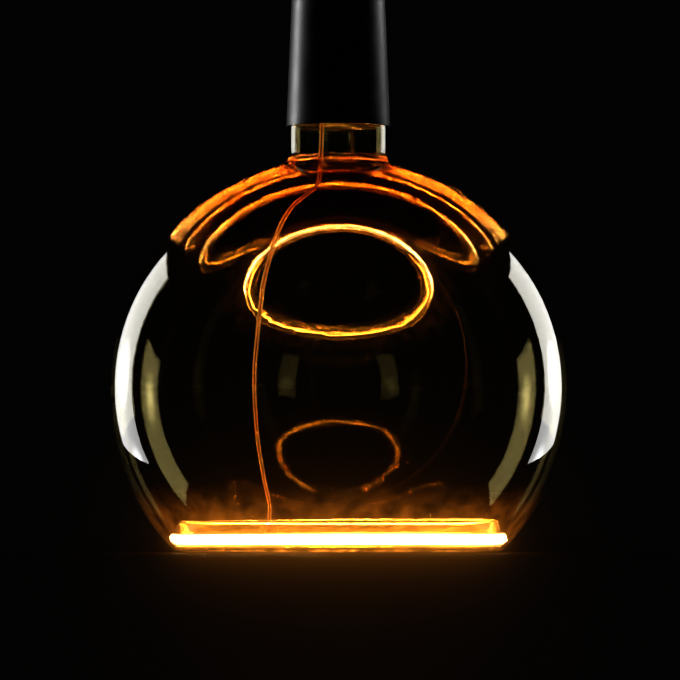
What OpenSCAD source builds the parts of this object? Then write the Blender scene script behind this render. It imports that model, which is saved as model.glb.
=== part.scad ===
// LED globe bulb. A large clear glass globe with a flat bottom holds a ring of LEDs.
// A tapered housing on its neck holds the driver and the screw cap.
// The origin is the centre of the flat bottom, and +Z runs up through the neck to the cap.

/* [Globe] */
// Outer diameter of the glass globe
globe_d = 200; // [190:1:220]
// Height of the globe's centre above its flat bottom
globe_centre_z = 71; // [66:0.5:78]
// Thickness of the blown wall
glass_wall = 1.2; // [0.8:0.1:1.8]
// Thickness of the flat bottom
bottom_wall = 2; // [1.5:0.1:3]
// Outer radius of the corner where the flat bottom meets the globe
bottom_round = 4.5; // [4:0.1:7]

/* [Neck] */
// How much smaller the neck's outer radius is than the housing's lower edge
neck_inset = 0.65; // [0.65:0.05:2]
// Thickness of the neck's wall
neck_wall = 1.5; // [1:0.1:2]
// Radius of the hollow curve between the globe and the neck
neck_round = 6; // [4:0.5:9]
// Length of straight neck that shows under the housing
neck_show = 10.2; // [6:0.2:16]
// Length of neck inside the housing
neck_grip = 11.5; // [9:0.5:14]
// How much smaller the radius of the gripped length is
neck_step = 1.2; // [0.8:0.1:1.5]

/* [Light ring] */
// Height of the light band's middle above the flat bottom
band_z = 5.7; // [5.6:0.1:8]
// Height of the glowing coat
coat_h = 4.5; // [3.6:0.1:4.8]
// Thickness of the glowing coat over the flexible board
coat_t = 1.9; // [1.7:0.1:2.4]
// Radius of the coat's outer corners
coat_round = 1.6; // [0.8:0.1:1.6]
// Clearance between the coat and the glass, level with the band's middle
coat_clear = 1.75; // [1.6:0.05:3]
// Height of the flexible board
flex_h = 4.8; // [4.6:0.1:5]
// Thickness of the flexible board
flex_t = 0.2; // [0.1:0.05:0.3]
// Number of LED chips round the ring
chip_count = 144; // [24:1:180]
// Width of a chip along the ring
chip_w = 1.2; // [0.8:0.1:1.6]
// Height of a chip
chip_h = 1.1; // [0.8:0.1:1.4]
// Thickness of a chip
chip_t = 0.55; // [0.4:0.05:0.8]
// Wall of the clear carrier ring
carrier_wall = 1.7; // [1.4:0.1:2.4]
// Height of the carrier ring above the glass that it stands on
carrier_h = 11.4; // [9:0.1:14]
// How far the carrier ring's foot reaches inwards
foot_reach = 3; // [2:0.1:5]
// Thickness of the carrier ring's foot
foot_t = 1.2; // [1:0.1:2]
// Number of adhesive beads along the foot
bead_count = 12; // [6:1:24]
// Radius of an adhesive bead
bead_r = 1.8; // [1.2:0.1:2.4]

/* [Lead] */
// Diameter of one insulated wire of the twin lead
lead_wire_d = 1.1; // [0.9:0.05:1.1]
// Diameter of one copper conductor
lead_core_d = 0.6; // [0.4:0.05:0.7]
// Thickness of the web between the two wires
lead_web_t = 0.6; // [0.4:0.05:0.7]
// Length of conductor that is bare at the solder joint
lead_bare = 1.5; // [1:0.1:2]

/* [Housing] */
// Outer diameter of the sleeve at its lower edge
sleeve_low_d = 45.1; // [45.1:0.1:52]
// Outer diameter of the sleeve at its upper edge
sleeve_top_d = 40.1; // [39.5:0.1:46]
// Length of the sleeve
sleeve_h = 60.5; // [59:0.5:75]
// Wall of the drawn sleeve
sleeve_wall = 0.6; // [0.4:0.1:0.6]
// Wall of the insulating liner
liner_wall = 1; // [0.8:0.1:1.2]
// Thickness of the plug's flange on the neck's rim
plug_flange = 1.5; // [1:0.1:2]
// Depth of the plug's skirt inside the neck
plug_skirt = 4.5; // [3:0.1:6]
// Wall of the plug's skirt
plug_wall = 1.6; // [1.2:0.1:2]
// Height of the moulded crown between the sleeve and the cap
crown_h = 8; // [7:0.5:12]
// Depth of the crown's skirt inside the liner
crown_skirt = 5; // [3:0.5:6]
// Wall of the crown
crown_wall = 1.6; // [1.2:0.1:2]

/* [Driver] */
// Thickness of the circuit board
board_t = 1.6; // [1:0.1:1.6]
// Height of the circuit board
board_h = 38; // [37:0.5:39]
// How far behind the axis the board's front face lies
board_y = 3; // [2:0.1:4]
// Height of the board's lower edge above the plug's flange
board_lift = 2.5; // [1.5:0.1:3]
// Diameter of the bulk capacitor
bulk_d = 10; // [8:0.5:10]
// Height of the bulk capacitor
bulk_h = 16; // [12:0.5:16]
// Width of the transformer's core
core_w = 13; // [12:0.5:14]
// Height of the transformer's core
core_h = 13; // [12:0.5:14]
// Depth of the transformer's core
core_d = 6; // [5:0.5:7]
// Diameter of the filter choke
choke_d = 8; // [6:0.5:9]
// Length of the filter choke
choke_h = 9; // [7:0.5:10]
// Diameter of the mains wires
wire_d = 1.2; // [1:0.1:1.2]

/* [Screw cap] */
// Crest diameter of the rounded thread
thread_d = 26.2; // [26:0.1:26.4]
// Root diameter of the rounded thread
thread_root_d = 24.2; // [24:0.1:24.4]
// Pitch of the thread, seven turns to the inch
thread_pitch = 3.629; // [3.4:0.001:3.8]
// Length of the threaded zone
thread_len = 14; // [13.5:0.5:15]
// Outer diameter of the plain skirt under the thread
skirt_d = 26.6; // [26.6:0.1:27]
// Height of the plain skirt
skirt_h = 3.4; // [3:0.1:4]
// Thickness of the shell's sheet
shell_t = 0.3; // [0.2:0.05:0.35]
// Height of the whole cap over the crown
cap_h = 27; // [26:0.5:28]
// Diameter of the centre contact
contact_d = 9.6; // [9:0.1:10]
// Thickness of the centre contact
contact_t = 1.2; // [1:0.1:1.4]
// Height of the solder dome on the contact
solder_h = 1.4; // [1:0.1:1.6]

/* [Hidden] */
$fn = 96;

// Fits: a press or glue fit that is drawn as a fine gap, and a gap that shows
fine_gap = 0.05;
fit_gap = 0.1;
loose_gap = 0.3;

// How far one stretch of a section laps the next, and a cut runs past a face
lap = 1;

// A length to the nearest tenth, so that what touches meets at the same round number
function tenth(v) = round(v * 10) / 10;

// Globe and neck
globe_r = globe_d / 2;
inner_r = globe_r - glass_wall;
neck_r = sleeve_low_d / 2 - neck_inset;
grip_r = neck_r - neck_step;
grip_bore_r = grip_r - neck_wall;
neck_low_z = globe_centre_z + sqrt(pow(globe_r + neck_round, 2) - pow(neck_r + neck_round, 2));
sleeve_z = tenth(neck_low_z + neck_show);
step_z = sleeve_z + loose_gap;
neck_top_z = sleeve_z + neck_grip;

// Inner radius of the glass at a height under the globe's centre
function glass_bore(z) = sqrt(pow(inner_r, 2) - pow(globe_centre_z - z, 2));

// Light ring, from the glass inwards
coat_r = tenth(glass_bore(band_z) - coat_clear);
coat_in_r = coat_r - coat_t;
flex_r = coat_in_r - fit_gap;
carrier_r = flex_r - flex_t - fit_gap;
carrier_in_r = carrier_r - carrier_wall;
lip_r = carrier_wall / 2;
lip_z = bottom_wall + carrier_h - lip_r;
foot_round = 1;
flex_top_z = band_z + flex_h / 2;

// Housing
sleeve_top_z = sleeve_z + sleeve_h;
sleeve_slope = (sleeve_low_d - sleeve_top_d) / 2 / sleeve_h;
liner_gap = sleeve_wall + fit_gap;
flange_top_z = neck_top_z + plug_flange;

// Outer radius of the tapered sleeve at a height
function sleeve_r(z) = sleeve_low_d / 2 - sleeve_slope * (z - sleeve_z);

cement_rise = 1;
grommet_r = 2.2;
grommet_flange = 0.8;

// Driver board
board_z = flange_top_z + board_lift;
board_top_z = board_z + board_h;
board_back_y = board_y + board_t;
liner_bore_top = sleeve_r(board_top_z) - liner_gap - liner_wall;
board_half_w = sqrt(pow(liner_bore_top, 2) - pow(board_back_y, 2)) - loose_gap;
rail_t = 1.2;
rail_reach = 2.2;
rail_top_z = min(board_top_z + 1, sleeve_top_z - crown_skirt - loose_gap);

// Places of the driver's pieces: across the board from its middle, and up from its lower edge
connector_x = -7;
connector_up = 1;
connector_w = 8;
connector_h = 6;
bulk_x = 8.5;
bulk_up = 15;
film_x = 8;
film_up = 3;
film_size = [10, 5, 9];
varistor_x = 10.5;
varistor_up = 34.8;
varistor_d = 6;
varistor_t = 3.5;
fusible_x = -3;
fusible_up = 34.5;
fusible_d = 3;
fusible_len = 8;
transformer_x = -6;
transformer_up = 22;
rectifier_x = -7;
rectifier_up = 31;
rectifier_size = [6, 2.5, 5];
driver_chip_x = 4.5;
driver_chip_up = 14;
driver_chip_size = [4.9, 1.5, 3.9];
transistor_x = -6;
transistor_up = 14;
transistor_size = [6.5, 2.3, 6];
choke_x = 6;
choke_up = 25;
chip_resistor_size = [2, 0.6, 1.25];
chip_resistor_pitch = 4;
chip_resistor_row = 3.5;
live_x = 4;
neutral_x = -11;
pad_up = 35;
pad_r = 1.1;
pad_h = 1.2 * pad_r;

// Transformer
leg_w = 4;
yoke_h = 2;
side_leg_w = 1.8;
bobbin_wall = 0.5;
bobbin_flange_t = 0.6;
bobbin_depth = 11;
window_w = (core_w - leg_w - 2 * side_leg_w) / 2;
window_h = core_h - 2 * yoke_h;

// Cap
cap_z = sleeve_top_z + crown_h;
cap_top_z = cap_z + cap_h;
thread_z = cap_z + skirt_h;
thread_top_z = thread_z + thread_len;
shell_band_h = 1.8;
shell_round = 1.3;
shell_top_z = thread_top_z + shell_band_h + shell_round;
shell_rim_r = 9.8;
skirt_blend = 0.6;
contact_z = cap_top_z - solder_h - contact_t;
wire_hole_r = wire_d / 2 + fit_gap;
spigot_r = thread_root_d / 2 - shell_t - fit_gap;
spigot_h = 10;
wire_notch_w = wire_d + 2 * fit_gap;
wire_notch_floor = spigot_r - wire_d - fit_gap;

// Route of the twin lead's middle line, first from the connector down the neck: heights from the neck's rim
lead_in_neck = [
    [-7, 0, 5],
    [-7, 0, -1],
    [-7, 0, -9],
    [-7.5, 0.5, -22],
    [-8, 1, -29.5]
];
// Then through the globe: shares of its radius, from its centre
lead_in_globe = [
    [-0.09, 0.02, 0.885],
    [-0.135, 0.04, 0.84],
    [-0.195, 0.07, 0.795],
    [-0.24, 0.11, 0.73],
    [-0.275, 0.155, 0.65],
    [-0.305, 0.21, 0.55],
    [-0.33, 0.26, 0.45],
    [-0.345, 0.315, 0.33],
    [-0.36, 0.37, 0.2],
    [-0.37, 0.42, 0.085],
    [-0.37, 0.46, -0.025],
    [-0.365, 0.5, -0.13],
    [-0.355, 0.535, -0.24],
    [-0.335, 0.575, -0.37]
];
// Then down the ring's inner face to the solder pads: heights over the flat bottom's inner face
lead_at_ring = [18, 12, 7.5];
tail_azimuth = 117.3;
wire_gap = lead_wire_d / 2;
tail_in_r = carrier_in_r - fit_gap - flex_t;
lead_end_r = tail_in_r - wire_gap - fine_gap;
lead_route = concat(
    [for (p = lead_in_neck) p + [0, 0, neck_top_z]],
    [for (p = lead_in_globe) globe_r * p + [0, 0, globe_centre_z]],
    [for (up = lead_at_ring)
        [lead_end_r * cos(tail_azimuth), lead_end_r * sin(tail_azimuth), bottom_wall + up]]);
lead_steps = 2;
lead_end = lead_route[len(lead_route) - 1];
tail_width = 8;
tail_low_z = lead_end[2] - lead_bare - 1.5;
flex_gap_width = 1.2;
lead_front = [0, -1, 0];
lead_inwards = [-cos(tail_azimuth), -sin(tail_azimuth), 0];
joint_r = 0.52;
joint_drop = 0.3;
joint_shift = 0.2;

// Routes of the two mains wires, from the board to the cap
wire_y = board_y - wire_d / 2 - fit_gap;
wire_start_z = board_z + pad_up + pad_h / 2 + fine_gap;
wire_straight = 4.5;
live_route = [
    [live_x, wire_y, wire_start_z],
    [live_x, wire_y, wire_start_z + wire_straight],
    [3, 1.5, cap_z - 2],
    [1, 0.5, cap_z + 10],
    [0, 0, cap_z + 17],
    [0, 0, cap_z + 21],
    [0, 0, contact_z + contact_t]
];
neutral_route = [
    [neutral_x, wire_y, wire_start_z],
    [neutral_x, wire_y, wire_start_z + wire_straight],
    [-8.5, 1.8, cap_z - 6],
    [-7, 1, cap_z + 2],
    [-7, 0, cap_z + 9],
    [-8.2, 0, cap_z + 12],
    [-10.2, 0, cap_z + 12.3],
    [-11.1, 0, cap_z + 9.5],
    [-11.1, 0, cap_z + 4]
];
wire_steps = 3;

glass_colour = [0.93, 0.87, 0.66, 0.35];
clear_colour = [0.95, 0.9, 0.75, 0.6];
glow_colour = [1, 0.66, 0.2];
flex_colour = [0.93, 0.9, 0.82];
copper_colour = [0.8, 0.42, 0.22];
solder_colour = [0.76, 0.77, 0.78];
black_colour = [0.05, 0.05, 0.055];
white_plastic = [0.88, 0.88, 0.85];
board_colour = [0.1, 0.32, 0.16];
ferrite_colour = [0.16, 0.16, 0.17];
nickel_colour = [0.72, 0.7, 0.66];
brass_colour = [0.78, 0.62, 0.3];

// Point at a share t of the way from b to c, on a smooth curve that also passes a and d
function smooth_point(a, b, c, d, t) =
    (2 * b + (c - a) * t + (2 * a - 5 * b + 4 * c - d) * t * t + (3 * b - a - 3 * c + d) * t * t * t) / 2;

// A route through all the given points, with some steps between each two
function smooth_route(points, steps) =
    let (last = len(points) - 1)
    concat(
        [for (i = [0:last - 1], s = [0:steps - 1])
            let (a = points[max(i - 1, 0)], d = points[min(i + 2, last)])
            smooth_point(a, points[i], points[i + 1], d, s / steps)],
        [points[last]]);

function unit(v) = v / norm(v);

// Direction of a route at one of its points
function heading(route, i) = unit(route[min(i + 1, len(route) - 1)] - route[max(i - 1, 0)]);

// Across and outward directions of a flat lead at one point, for a face that turns from one way to another
function across(route, i, share) =
    unit(cross(lead_front * (1 - share) + lead_inwards * share, heading(route, i)));

function lead_frame(route, i, share) =
    let (w = across(route, i, share))
    [w, cross(heading(route, i), w)];

lead_line = smooth_route(lead_route, lead_steps);
lead_count = len(lead_line);
core_line = concat(lead_line, [lead_end - [0, 0, lead_bare]]);

// Section of one conductor, and of half the jacket round it, as points across and out from the middle line
core_sides = 8;
function core_section(side) =
    [for (k = [0:core_sides - 1])
        let (a = 180 * (1 - side) / 2 + (k + 0.5) * 360 / core_sides - (side > 0 ? 180 : 0))
        [side * wire_gap + lead_core_d / 2 * cos(a), lead_core_d / 2 * sin(a)]];

// Half section inside a globe of radius r that is cut flat at height low and runs up into a neck
module globe_section(r, low, round, neck, hollow, grip, top_z) {
    corner_z = low + round;
    corner_r = sqrt(pow(r - round, 2) - pow(globe_centre_z - corner_z, 2));
    corner_top_z = globe_centre_z - (globe_centre_z - corner_z) * r / (r - round);
    hollow_r = neck + hollow;
    hollow_z = globe_centre_z + sqrt(pow(r + hollow, 2) - pow(hollow_r, 2));
    meet_r = hollow_r * r / (r + hollow);
    meet_z = globe_centre_z + (hollow_z - globe_centre_z) * r / (r + hollow);
    intersection() {
        translate([0, globe_centre_z])
            circle(r);
        translate([0, corner_top_z])
            square([r + lap, meet_z - corner_top_z]);
    }
    translate([0, low])
        square([corner_r, round]);
    intersection() {
        translate([corner_r, corner_z])
            circle(round);
        translate([corner_r - round, low])
            square([3 * round, corner_top_z + round - low]);
    }
    difference() {
        translate([0, meet_z - lap])
            square([meet_r, hollow_z - meet_z + lap]);
        translate([hollow_r, hollow_z])
            circle(hollow);
    }
    translate([0, hollow_z - lap])
        square([neck, step_z - hollow_z + lap]);
    intersection() {
        translate([grip, step_z])
            circle(neck - grip);
        translate([0, step_z - lap / 2])
            square([neck, neck_r]);
    }
    translate([0, step_z - lap])
        square([grip, top_z - step_z + lap]);
}

module glass_globe() {
    color(glass_colour)
    rotate_extrude($fn = 180)
    difference() {
        globe_section(globe_r, 0, bottom_round, neck_r, neck_round, grip_r, neck_top_z);
        globe_section(inner_r, bottom_wall, bottom_round - bottom_wall, neck_r - neck_wall,
            neck_round + neck_wall, grip_bore_r, neck_top_z + lap);
    }
}

// Clear ring that stands on the flat bottom and holds the light strip up against its outer face
module carrier_ring() {
    color(clear_colour)
    rotate_extrude($fn = 180) {
        translate([carrier_in_r, bottom_wall + foot_round])
            square([carrier_wall, lip_z - bottom_wall - foot_round]);
        translate([carrier_in_r + lip_r, lip_z])
            circle(lip_r);
        translate([carrier_r - foot_round, bottom_wall + foot_round])
            circle(foot_round);
        translate([carrier_in_r - foot_reach, bottom_wall])
            square([foot_reach + carrier_wall - foot_round, foot_t]);
    }
}

// Flexible board round the ring, a loop with one gap under the folded tail
module flex_board() {
    gap_angle = flex_gap_width / flex_r * 180 / PI;
    color(flex_colour)
    rotate([0, 0, tail_azimuth + gap_angle / 2])
    rotate_extrude(angle = 360 - gap_angle, $fn = 180)
    translate([flex_r - flex_t, band_z - flex_h / 2])
        square([flex_t, flex_h]);
}

module led_chips() {
    color([0.95, 0.85, 0.3])
    for (i = [0:chip_count - 1])
        rotate([0, 0, tail_azimuth + (i + 0.5) * 360 / chip_count])
        translate([flex_r, -chip_w / 2, band_z - chip_h / 2])
            cube([chip_t, chip_w, chip_h]);
}

// Domed coat of silicone and phosphor, with a channel inside it for the chips
module phosphor_coat() {
    low_z = band_z - coat_h / 2;
    color(glow_colour)
    rotate_extrude($fn = 180)
    difference() {
        union() {
            translate([coat_in_r, low_z])
                square([coat_t - coat_round, coat_h]);
            translate([coat_in_r, low_z + coat_round])
                square([coat_t, coat_h - 2 * coat_round]);
            intersection() {
                for (side = [low_z + coat_round, low_z + coat_h - coat_round])
                    translate([coat_r - coat_round, side])
                        circle(coat_round);
                translate([coat_in_r, low_z])
                    square([coat_t, coat_h]);
            }
        }
        translate([flex_r, band_z - chip_h / 2 - fit_gap])
            square([chip_t + fit_gap, chip_h + 2 * fit_gap]);
    }
}

// Tongue of the flexible board, folded over the ring's lip and down its inner face to the solder pads
module flex_tail() {
    tail_angle = tail_width / carrier_r * 180 / PI;
    color(flex_colour)
    rotate([0, 0, tail_azimuth - tail_angle / 2])
    rotate_extrude(angle = tail_angle, $fn = 180)
    difference() {
        union() {
            translate([carrier_in_r + lip_r, lip_z])
                circle(lip_r + fit_gap + flex_t);
            translate([flex_r - flex_t, flex_top_z])
                square([flex_t, lip_z - flex_top_z]);
            translate([tail_in_r, tail_low_z])
                square([flex_t, lip_z - tail_low_z]);
        }
        translate([carrier_in_r + lip_r, lip_z])
            circle(lip_r + fit_gap);
        translate([carrier_in_r - fit_gap, tail_low_z - lap])
            square([carrier_wall + 2 * fit_gap, lip_z - tail_low_z + lap]);
    }
}

// Places something at one of the two bare conductors, with +X outwards
module at_joint(side) {
    rotate([0, 0, tail_azimuth])
    translate([lead_end_r, side * wire_gap, lead_end[2] - lead_bare])
        children();
}

module solder_joints() {
    color(solder_colour)
    intersection() {
        for (side = [-1, 1])
            at_joint(side)
            difference() {
                translate([joint_shift, 0, -joint_drop])
                    sphere(joint_r, $fn = 32);
                translate([-joint_r, -joint_r, 0])
                    cube(2 * joint_r);
            }
        cylinder(r = tail_in_r, h = lip_z, $fn = 180);
    }
}

// Clear dabs along the inner edge of the ring's foot
module adhesive_beads() {
    sunk = bead_r / 3;
    foot_spread = sqrt(pow(bead_r, 2) - pow(sunk, 2));
    color(clear_colour)
    intersection() {
        for (i = [0:bead_count - 1])
            rotate([0, 0, (i + 0.5) * 360 / bead_count])
            translate([carrier_in_r - foot_reach - foot_spread, 0, bottom_wall - sunk])
                sphere(bead_r, $fn = 48);
        translate([0, 0, bottom_wall])
            cylinder(r = carrier_in_r - foot_reach, h = bead_r, $fn = 180);
    }
}

// One ring of points round a line's point: an outline given across and outwards, turned into place
function ring_points(line, i, share, outline) =
    let (f = lead_frame(line, i, share))
    [for (q = outline) line[i] + q[0] * f[0] + q[1] * f[1]];

function line_points(line, turn, outline) =
    [for (i = [0:len(line) - 1])
        each ring_points(line, i, turn ? min(i / (lead_count - 1), 1) : 0, outline)];

// Two triangles for a four-sided facet, given anticlockwise as seen from outside
function facet(a, b, c, d) = [[a, d, c], [a, c, b]];

// A solid rod along a line, with the same outline all the way
module rod_along(line, turn, outline) {
    n = len(outline);
    last = len(line) - 1;
    sides = [for (i = [0:last - 1], k = [0:n - 1])
        let (m = (k + 1) % n)
        each facet(i * n + k, i * n + m, i * n + n + m, i * n + n + k)];
    start_cap = [for (k = [1:n - 2]) [0, k, k + 1]];
    end_cap = [for (k = [1:n - 2]) [last * n, last * n + k + 1, last * n + k]];
    polyhedron(line_points(line, turn, outline), concat(sides, start_cap, end_cap));
}

// Outline of the twin jacket: the web's upper middle, the left wire, the web's lower middle, the right wire
arc_steps = [-140, -84, -28, 28, 84, 140];
right_arc = [for (a = arc_steps) [wire_gap + wire_gap * cos(a), wire_gap * sin(a)]];
left_arc = [for (a = arc_steps) [-wire_gap - wire_gap * cos(a), -wire_gap * sin(a)]];
jacket_outline = concat([[0, lead_web_t / 2]], left_arc, [[0, -lead_web_t / 2]], right_arc);
jacket_section = concat(jacket_outline, core_section(-1), core_section(1));

// Clear twin jacket, one tube with two bores along the lead
module lead_jacket() {
    n = len(jacket_section);
    outer = len(jacket_outline);
    half = outer / 2;
    last = lead_count - 1;
    left_loop = [for (k = [0:half]) k];
    right_loop = [for (k = [0:half]) (half + k) % outer];
    skin = [for (i = [0:last - 1], k = [0:outer - 1])
        let (m = (k + 1) % outer)
        each facet(i * n + k, i * n + m, i * n + n + m, i * n + n + k)];
    bores = [for (i = [0:last - 1], side = [0, 1], k = [0:core_sides - 1])
        let (m = (k + 1) % core_sides, b = i * n + outer + side * core_sides)
        each facet(b + k, b + n + k, b + n + m, b + m)];
    caps = [for (side = [0, 1], k = [0:core_sides - 1])
        let (
            m = (k + 1) % core_sides,
            loop = side == 0 ? left_loop : right_loop,
            b = outer + side * core_sides,
            e = last * n
        )
        each concat(
            facet(loop[m], loop[k], b + k, b + m),
            facet(e + loop[k], e + loop[m], e + b + m, e + b + k))];
    color(clear_colour)
    polyhedron(line_points(lead_line, true, jacket_section), concat(skin, bores, caps));
}

module lead_core_left() {
    color(copper_colour)
        rod_along(core_line, true, core_section(-1));
}

module lead_core_right() {
    color(copper_colour)
        rod_along(core_line, true, core_section(1));
}

// Slot for the flat lead, as a flat outline
module lead_slot(gap) {
    square([lead_wire_d, lead_wire_d + 2 * gap], center = true);
    for (side = [-1, 1])
        translate([side * wire_gap, 0])
            circle(wire_gap + gap, $fn = 32);
}

// Plug that closes the neck: a skirt inside the bore and a flange on the rim
module neck_plug() {
    skirt_r = grip_bore_r - fit_gap;
    color(white_plastic)
    difference() {
        union() {
            translate([0, 0, neck_top_z])
                cylinder(r = sleeve_r(flange_top_z) - liner_gap, h = plug_flange);
            translate([0, 0, neck_top_z - plug_skirt])
                cylinder(r = skirt_r, h = plug_skirt + plug_flange / 2);
        }
        translate([0, 0, neck_top_z - plug_skirt - lap])
            cylinder(r = skirt_r - plug_wall, h = plug_skirt + lap);
        translate([lead_route[0][0], 0, neck_top_z - lap])
            cylinder(r = grommet_r, h = plug_flange + 2 * lap, $fn = 48);
    }
}

module lead_grommet() {
    color([0.75, 0.72, 0.66])
    translate([lead_route[0][0], 0, 0])
    difference() {
        union() {
            translate([0, 0, neck_top_z - grommet_flange])
                cylinder(r = grommet_r + grommet_flange, h = grommet_flange, $fn = 48);
            translate([0, 0, neck_top_z - grommet_flange])
                cylinder(r = grommet_r, h = plug_flange + 2 * grommet_flange, $fn = 48);
            translate([0, 0, flange_top_z])
                cylinder(r = grommet_r + grommet_flange, h = grommet_flange, $fn = 48);
        }
        translate([0, 0, neck_top_z - grommet_flange - lap])
        linear_extrude(plug_flange + 2 * grommet_flange + 2 * lap)
            lead_slot(fine_gap);
    }
}

// Cement between the narrow end of the neck and the sleeve
module neck_cement() {
    low_z = step_z + neck_step + cement_rise;
    color([0.8, 0.78, 0.72])
    rotate_extrude()
    polygon([
        [grip_r + fine_gap, low_z],
        [sleeve_r(low_z) - liner_gap, low_z],
        [sleeve_r(neck_top_z) - liner_gap, neck_top_z],
        [grip_r + fine_gap, neck_top_z]
    ]);
}

// Black tapered tube, drawn from thin metal, with a rounded lower edge
module outer_sleeve() {
    edge_r = sleeve_wall / 2;
    color(black_colour)
    rotate_extrude($fn = 180) {
        polygon([
            [sleeve_r(sleeve_z) - sleeve_wall, sleeve_z + edge_r],
            [sleeve_r(sleeve_z), sleeve_z + edge_r],
            [sleeve_r(sleeve_top_z), sleeve_top_z],
            [sleeve_r(sleeve_top_z) - sleeve_wall, sleeve_top_z]
        ]);
        translate([sleeve_r(sleeve_z) - edge_r, sleeve_z + edge_r])
            circle(edge_r, $fn = 32);
    }
}

// Solid cone that just fits inside the sleeve, less a gap
module liner_cone(gap, top_z) {
    translate([0, 0, flange_top_z])
        cylinder(r1 = sleeve_r(flange_top_z) - gap, r2 = sleeve_r(top_z) - gap, h = top_z - flange_top_z);
}

// Insulating tube inside the sleeve, with two pairs of rails and two stops for the board
module inner_liner() {
    color(white_plastic) {
        difference() {
            liner_cone(liner_gap, sleeve_top_z);
            translate([0, 0, flange_top_z - lap])
                cylinder(
                    r1 = sleeve_r(flange_top_z - lap) - liner_gap - liner_wall,
                    r2 = sleeve_r(sleeve_top_z + lap) - liner_gap - liner_wall,
                    h = sleeve_top_z - flange_top_z + 2 * lap);
        }
        intersection() {
            liner_cone(liner_gap + liner_wall / 2, sleeve_top_z);
            for (side = [-1, 1])
                translate([side * (board_half_w + globe_r / 2 - rail_reach), 0, 0])
                    rail_pair();
        }
    }
}

// Rails in front of and behind the board's edge, with the stop that it stands on
module rail_pair() {
    rail_h = rail_top_z - flange_top_z;
    for (y = [board_y - fine_gap - rail_t, board_back_y + fine_gap])
        translate([-globe_r / 2, y, flange_top_z])
            cube([globe_r, rail_t, rail_h]);
    translate([-globe_r / 2, board_y - fine_gap - rail_t, flange_top_z])
        cube([globe_r, board_t + 2 * fine_gap + 2 * rail_t, board_lift]);
}

module driver_board() {
    color(board_colour)
    translate([-board_half_w, board_y, board_z])
        cube([2 * board_half_w, board_t, board_h]);
}

// Places something on the board's front, with +Y into the board
module on_front(x, up) {
    translate([x, board_y, board_z + up])
        children();
}

// Places something on the board's back, with +Y away from the board
module on_back(x, up) {
    translate([x, board_back_y, board_z + up])
        children();
}

// A block that stands out from the board by its depth, centred on its place
module front_block(size) {
    translate([-size[0] / 2, -size[1], -size[2] / 2])
        cube(size);
}

module back_block(size) {
    translate([-size[0] / 2, 0, -size[2] / 2])
        cube(size);
}

module output_connector() {
    color(white_plastic)
    on_front(connector_x, connector_up + connector_h / 2)
        front_block([connector_w, 2 * board_y, connector_h]);
}

// Bulk capacitor lying against the board, with its end crimp
module bulk_capacitor() {
    crimp_r = 0.5;
    crimp_up = 2;
    color([0.12, 0.12, 0.2])
    on_front(bulk_x, bulk_up)
    translate([0, -bulk_d / 2, 0])
    difference() {
        cylinder(d = bulk_d, h = bulk_h);
        translate([0, 0, crimp_up])
        rotate_extrude()
        translate([bulk_d / 2 + crimp_r / 2, 0])
            circle(crimp_r, $fn = 24);
    }
}

module film_capacitor() {
    color([0.7, 0.25, 0.15])
    on_front(film_x, film_up + film_size[2] / 2)
        front_block(film_size);
}

module varistor() {
    color([0.15, 0.3, 0.6])
    on_front(varistor_x, varistor_up)
    rotate([90, 0, 0])
        cylinder(d = varistor_d, h = varistor_t, $fn = 48);
}

module fusible_resistor() {
    end_len = 1.5;
    body_share = 0.85;
    color([0.35, 0.5, 0.45])
    on_front(fusible_x, fusible_up)
    translate([0, -fusible_d / 2, 0])
    rotate([0, 90, 0]) {
        cylinder(d = fusible_d * body_share, h = fusible_len, center = true, $fn = 48);
        for (side = [-1, 1])
            translate([0, 0, side * (fusible_len - end_len) / 2])
                cylinder(d = fusible_d, h = end_len, center = true, $fn = 48);
    }
}

module bridge_rectifier() {
    color(black_colour)
    on_back(rectifier_x, rectifier_up)
        back_block(rectifier_size);
}

module driver_chip() {
    color(black_colour)
    on_back(driver_chip_x, driver_chip_up)
        back_block(driver_chip_size);
}

module power_transistor() {
    color([0.1, 0.1, 0.11])
    on_back(transistor_x, transistor_up)
        back_block(transistor_size);
}

// Choke on a drum core: two flanges and the wound middle
module filter_choke() {
    flange_t = 1.2;
    winding_step = 0.5;
    color([0.2, 0.2, 0.22])
    on_back(choke_x, choke_up)
    rotate([-90, 0, 0]) {
        cylinder(d = choke_d, h = flange_t);
        cylinder(r = choke_d / 2 - winding_step, h = choke_h);
        translate([0, 0, choke_h - flange_t])
            cylinder(d = choke_d, h = flange_t);
    }
}

module chip_resistors() {
    color([0.12, 0.12, 0.12])
    for (column = [-2:2], row = [0, 1])
        on_back(column * chip_resistor_pitch, (row + 1) * chip_resistor_row)
            back_block(chip_resistor_size);
}

// Places the transformer's middle, with its bobbin flange against the board
module at_transformer() {
    on_front(transformer_x, transformer_up)
    translate([0, -bobbin_depth / 2, 0])
        children();
}

// Ferrite core with two windows and a middle leg
module transformer_core() {
    color(ferrite_colour)
    at_transformer()
    difference() {
        cube([core_w, core_d, core_h], center = true);
        for (side = [-1, 1])
            translate([side * (leg_w + window_w) / 2, 0, 0])
                cube([window_w, core_d + lap, window_h], center = true);
    }
}

// Square tube round the middle leg, with a flange at each end
module transformer_bobbin() {
    hole = [leg_w + 2 * fine_gap, core_d + 2 * fine_gap, window_h];
    tube = hole + [2 * bobbin_wall, 2 * bobbin_wall, -2 * fine_gap];
    color([0.82, 0.8, 0.7])
    at_transformer()
    difference() {
        union() {
            cube(tube, center = true);
            for (side = [-1, 1])
                translate([0, 0, side * (tube[2] - bobbin_flange_t) / 2])
                    cube([leg_w + 2 * window_w - 2 * fit_gap, bobbin_depth, bobbin_flange_t], center = true);
        }
        cube(hole + [0, 0, lap], center = true);
    }
}

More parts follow.
